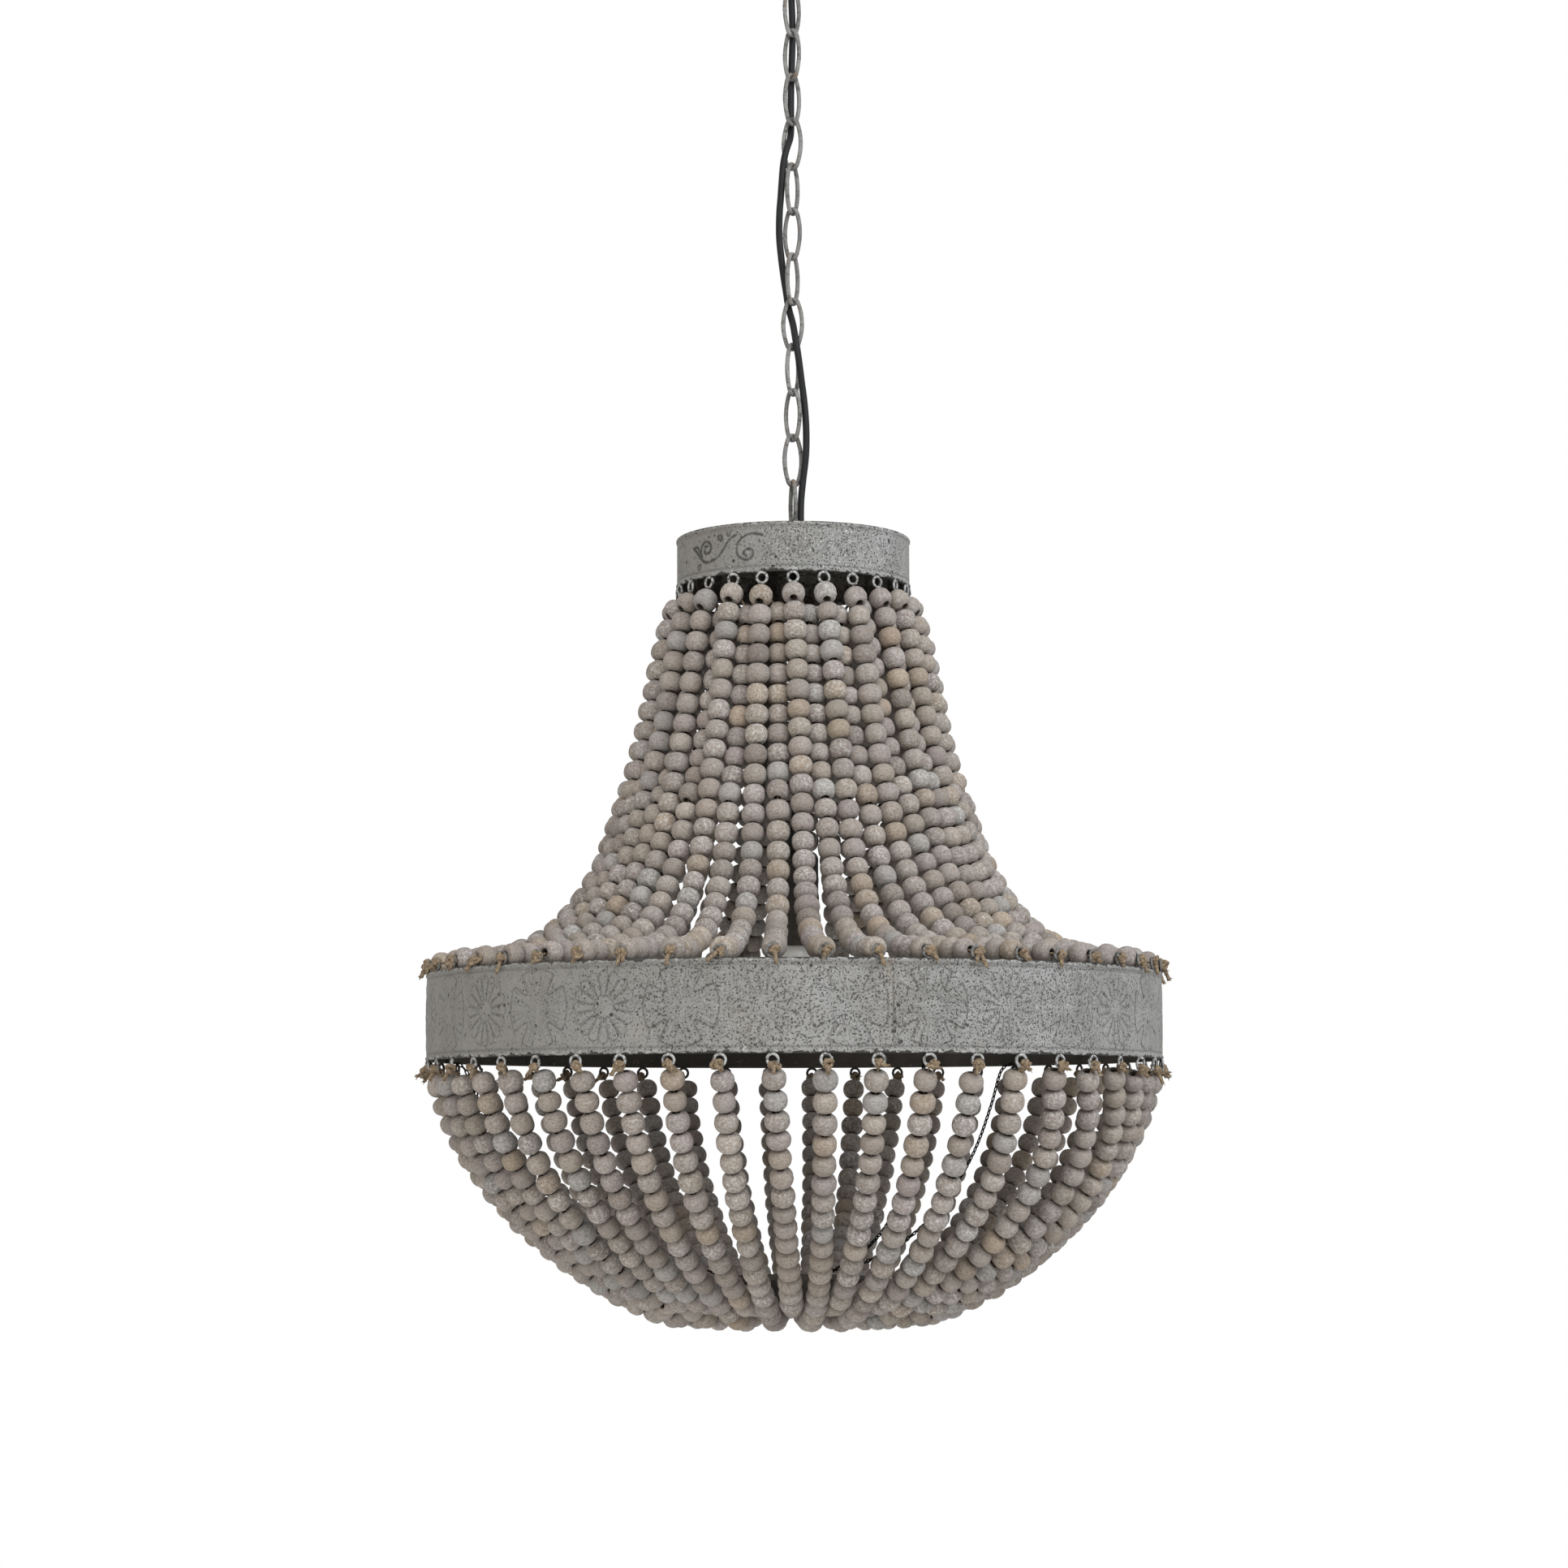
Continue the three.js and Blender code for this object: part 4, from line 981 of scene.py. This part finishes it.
def add_links():
    flat = dense_oval()
    for i in range(LINKS):
        yaw = math.radians(LINK_YAWS[i])
        middle = FIRST_LINK_MIDDLE - i * LINK_PITCH
        across = np.array([math.cos(yaw), math.sin(yaw), 0])
        points = flat[:, :1] * across + (flat[:, 1:] + middle) * UP
        radius = np.full(len(points), LINK_WIRE / 2)
        weld = LINK_POINTS // 2
        radius[weld - 2:weld + 3] *= [1.04, 1.1, 0.98, 1.1, 1.04]
        shape = Shape()
        shape.add(*tube(points, radius, 12, closed=True, flat_normal=np.cross(across, UP)))
        name = f"chain_link_{i + 1:02d}"
        piece = make_piece(name + "_wire", shape, CHAIN)
        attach(piece, f"link_{i + 1:02d}")
        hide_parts(name)


add_links()


# Flex, in one piece for each joint that it bends over

CORD_RADIUS = 2.85
CEILING_LOOP_MIDDLE, CAP_LOOP_FOOT = -44, -541
CORD_ROUTE = [
    (18, 0, -7.8), (9.2, 0, -7.8), (5.7, 0, -8.5), (2.7, 0, -10.5), (0.7, 0, -13.5), (0, 0, -17.5),
    (0, 0, -25), (0, 0, -31.5), (0, 0.7, -37.3), (0, 2.3, -42.8), (-0.1, 4.3, -47.3), (-0.2, 6.3, -51.5),
    (-0.3, 7.4, -55.4), (-0.3, 8, -62), (0.2, 8.6, -76), (0.5, 9, -94), (0, 8.8, -112), (-0.6, 8.2, -130),
    (-1, 7.8, -148),
    (-1, 7.6, -162), (-0.9, 6.9, -171), (-1.1, 5.2, -178), (-1.9, 2, -184.5), (-3.4, -0.8, -190),
    (-5.2, -2.5, -196), (-7.4, -3.7, -207), (-9, -3.9, -226), (-9.8, -3.5, -237), (-10.7, -3, -248),
    (-11, -1.4, -268.5), (-9.2, -0.4, -288.6), (-7.2, 1.2, -304), (-5.2, 4.6, -316), (-4, 6.5, -324),
    (-2.6, 5.7, -331), (-1, 3.2, -337.5), (0.4, 0.2, -344), (1.4, -2.8, -350.5), (2.3, -5.3, -357),
    (3.6, -6.7, -365), (5.3, -6, -377), (7.6, -4, -395), (9.6, -2.7, -411), (11, -2.6, -432),
    (10.7, -2.2, -454.9), (8.4, -2.2, -475), (6.7, -2.7, -492), (6.3, -3.5, -505), (6.3, -4, -512),
    (6, -4.1, -516.5), (5.2, -3.5, -520.5), (3.6, -2.4, -524.5), (1.9, -1.3, -529), (0.6, -0.4, -535),
    (0, 0, CAP_LOOP_FOOT), (0, 0, -555), (1.2, 0.4, -575), (2.6, 0.8, -589), (4.2, 1.2, -603),
    (5.8, 1.7, -621), (7, 2, -640), (7.4, 2.2, -660), (7.2, 2.2, -680), (6.1, 1.9, -699), (4.4, 1.4, -718),
    (2.6, 0.8, -733), (1.2, 0.4, -748), (0, 0, -766), (0, 0, -791.3),
]


def add_cord():
    """The flex, cut at the links' middles: the top piece goes with the ceiling, the bottom one with the
    shade, and each piece between spans one joint.
    """
    steps, sides = 420, 16
    curve = smooth_curve(CORD_ROUTE)
    length = lengths_along(curve)[-1]
    points = at_lengths(curve, np.linspace(0, length, steps))
    vertices, _ = tube(points, CORD_RADIUS, sides)
    rings = vertices.reshape(-1, sides, 3)
    middles = [FIRST_LINK_MIDDLE - i * LINK_PITCH for i in range(LINKS)]
    bodies = ["ceiling", *[f"link_{i + 1:02d}" for i in range(LINKS)], "shade"]
    levels = [CEILING_LOOP_MIDDLE, *middles, CAP_LOOP_FOOT]
    heights = np.concatenate([points[:1, 2], points[:, 2], points[-1:, 2]])
    cuts = [0, *[int(np.argmax(heights < level)) for level in levels], len(rings) - 1]
    for k, (low, high) in enumerate(zip(cuts, cuts[1:])):
        section = rings[low:high + 1]
        shape = Shape()
        shape.add(section.reshape(-1, 3), grid_quads(len(section), sides, wrap_columns=True))
        piece = make_piece(f"flex_{k + 1:02d}", shape, SHEATH)
        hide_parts("power_cord")
        if k == 0 or k == len(cuts) - 2:
            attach(piece, bodies[0] if k == 0 else bodies[-1])
        else:
            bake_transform(piece)


add_cord()


# Fine chains inside the bowl

FINE_PITCH, FINE_HALF_LENGTH, FINE_HALF_WIDTH, FINE_WIRE_RADIUS = 4.6, 2.9, 1.2, 0.62
FINE_START, FINE_END = (294.4, BAND_BOTTOM + 2), (RING_RADIUS - SHEET / 2, RING_TOP + 1.6)
# The strand that each chain hangs at, and how many degrees it swings aside
FINE_CHAINS = [(6, 0), (22, 0), (38, 3.5)]


def add_fine_chains():
    """Chains of small oblong links, each link turned a quarter from the last."""
    run = smooth_curve(stretched(FINE_SHARES, FINE_START, FINE_END))
    length = lengths_along(run)[-1]
    count = int(length // FINE_PITCH)
    middles = at_lengths(run, (np.arange(count) + 0.5) * length / count)
    ahead = unit(at_lengths(run, (np.arange(count) + 0.7) * length / count) - middles)
    turn = np.linspace(0, 2 * math.pi, 13)[:-1]
    for number, (strand, swing) in enumerate(FINE_CHAINS):
        shape = Shape()
        for k in range(count):
            aside = math.radians(swing) * math.sin(math.pi * (k + 0.5) / count)
            azimuth = BAND_EYES_FROM + strand * STRAND_STEP + aside
            out, beside = directions_at(azimuth)
            along = ahead[k][0] * out + ahead[k][1] * UP
            centre = middles[k][0] * out + middles[k][1] * UP
            width = beside if k % 2 else np.cross(along, beside)
            oblong = centre + FINE_HALF_LENGTH * np.cos(turn)[:, None] * along
            oblong = oblong + FINE_HALF_WIDTH * np.sin(turn)[:, None] * width
            shape.add(*tube(oblong, FINE_WIRE_RADIUS, 5, closed=True, flat_normal=np.cross(along, width)))
        node = f"fine_chain_{number + 1}"
        piece = make_piece(node + "_links", shape, BLACK_WIRE)
        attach(piece, "shade")
        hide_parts(node)


add_fine_chains()


# Floor, backdrop and lamps

def seen_directly(tree):
    """1 for rays from the camera, in gloss or through glass, else 0."""
    path = tree.nodes.new("ShaderNodeLightPath")
    total = path.outputs["Is Camera Ray"]
    for name in ("Is Glossy Ray", "Is Transmission Ray"):
        most = tree.nodes.new("ShaderNodeMath")
        most.operation = "MAXIMUM"
        tree.links.new(total, most.inputs[0])
        tree.links.new(path.outputs[name], most.inputs[1])
        total = most.outputs[0]
    return total


FLOOR_HEIGHT, FLOOR_RADII = -2150, (0.001, 600, 1500, 2600)


def add_stage():
    """A round pale floor, and a world that lights softly and shows white behind the lamp."""
    shape = Shape()
    vertices, quads = turned([(radius, FLOOR_HEIGHT) for radius in FLOOR_RADII], 96)
    shape.add(vertices, quads[:, ::-1])
    f = Finish("pale_floor", Roughness=0.9, Metallic=0.0)
    f.link(f.mix(f.ramp(f.noise(3), 0.3, 0.7), (0.8, 0.8, 0.795), (0.84, 0.84, 0.835)), "Base Color")
    floor = make_piece("floor", shape, f.material)
    world = bpy.data.worlds.new("studio")
    bpy.context.scene.world = world
    world.use_nodes = True
    tree = world.node_tree
    tree.nodes.clear()
    out = tree.nodes.new("ShaderNodeOutputWorld")
    mix = tree.nodes.new("ShaderNodeMixShader")
    light, backdrop = (tree.nodes.new("ShaderNodeBackground") for _ in range(2))
    light.inputs["Color"].default_value = (1, 0.96, 0.92, 1)
    light.inputs["Strength"].default_value = 0.52
    backdrop.inputs["Color"].default_value = (1, 1, 1, 1)
    backdrop.inputs["Strength"].default_value = 1
    tree.links.new(seen_directly(tree), mix.inputs["Fac"])
    tree.links.new(light.outputs[0], mix.inputs[1])
    tree.links.new(backdrop.outputs[0], mix.inputs[2])
    tree.links.new(mix.outputs[0], out.inputs["Surface"])


LAMPS_AIM = Vector((0, 0, -0.85))


def add_lamp(name, place, size, power, colour):
    """A square lamp of this size in metres and power in watts, aimed at the shade."""
    data = bpy.data.lights.new(name, "AREA")
    data.size = size
    data.energy = power
    data.color = colour
    lamp = bpy.data.objects.new(name, data)
    bpy.context.collection.objects.link(lamp)
    lamp.location = place
    lamp.rotation_euler = (LAMPS_AIM - Vector(place)).to_track_quat("-Z", "Y").to_euler()


add_stage()
add_lamp("right_lamp", (2.4, -2.2, 1.1), 1.8, 72, (0.86, 0.94, 1.0))
add_lamp("front_lamp", (0.3, -3.2, 1.3), 1.8, 60, (1.0, 1.0, 1.0))
add_lamp("low_lamp", (-1.7, -1.9, -1.7), 0.9, 13, (1.0, 1.0, 0.94))

bpy.context.scene.view_settings.view_transform = "Standard"
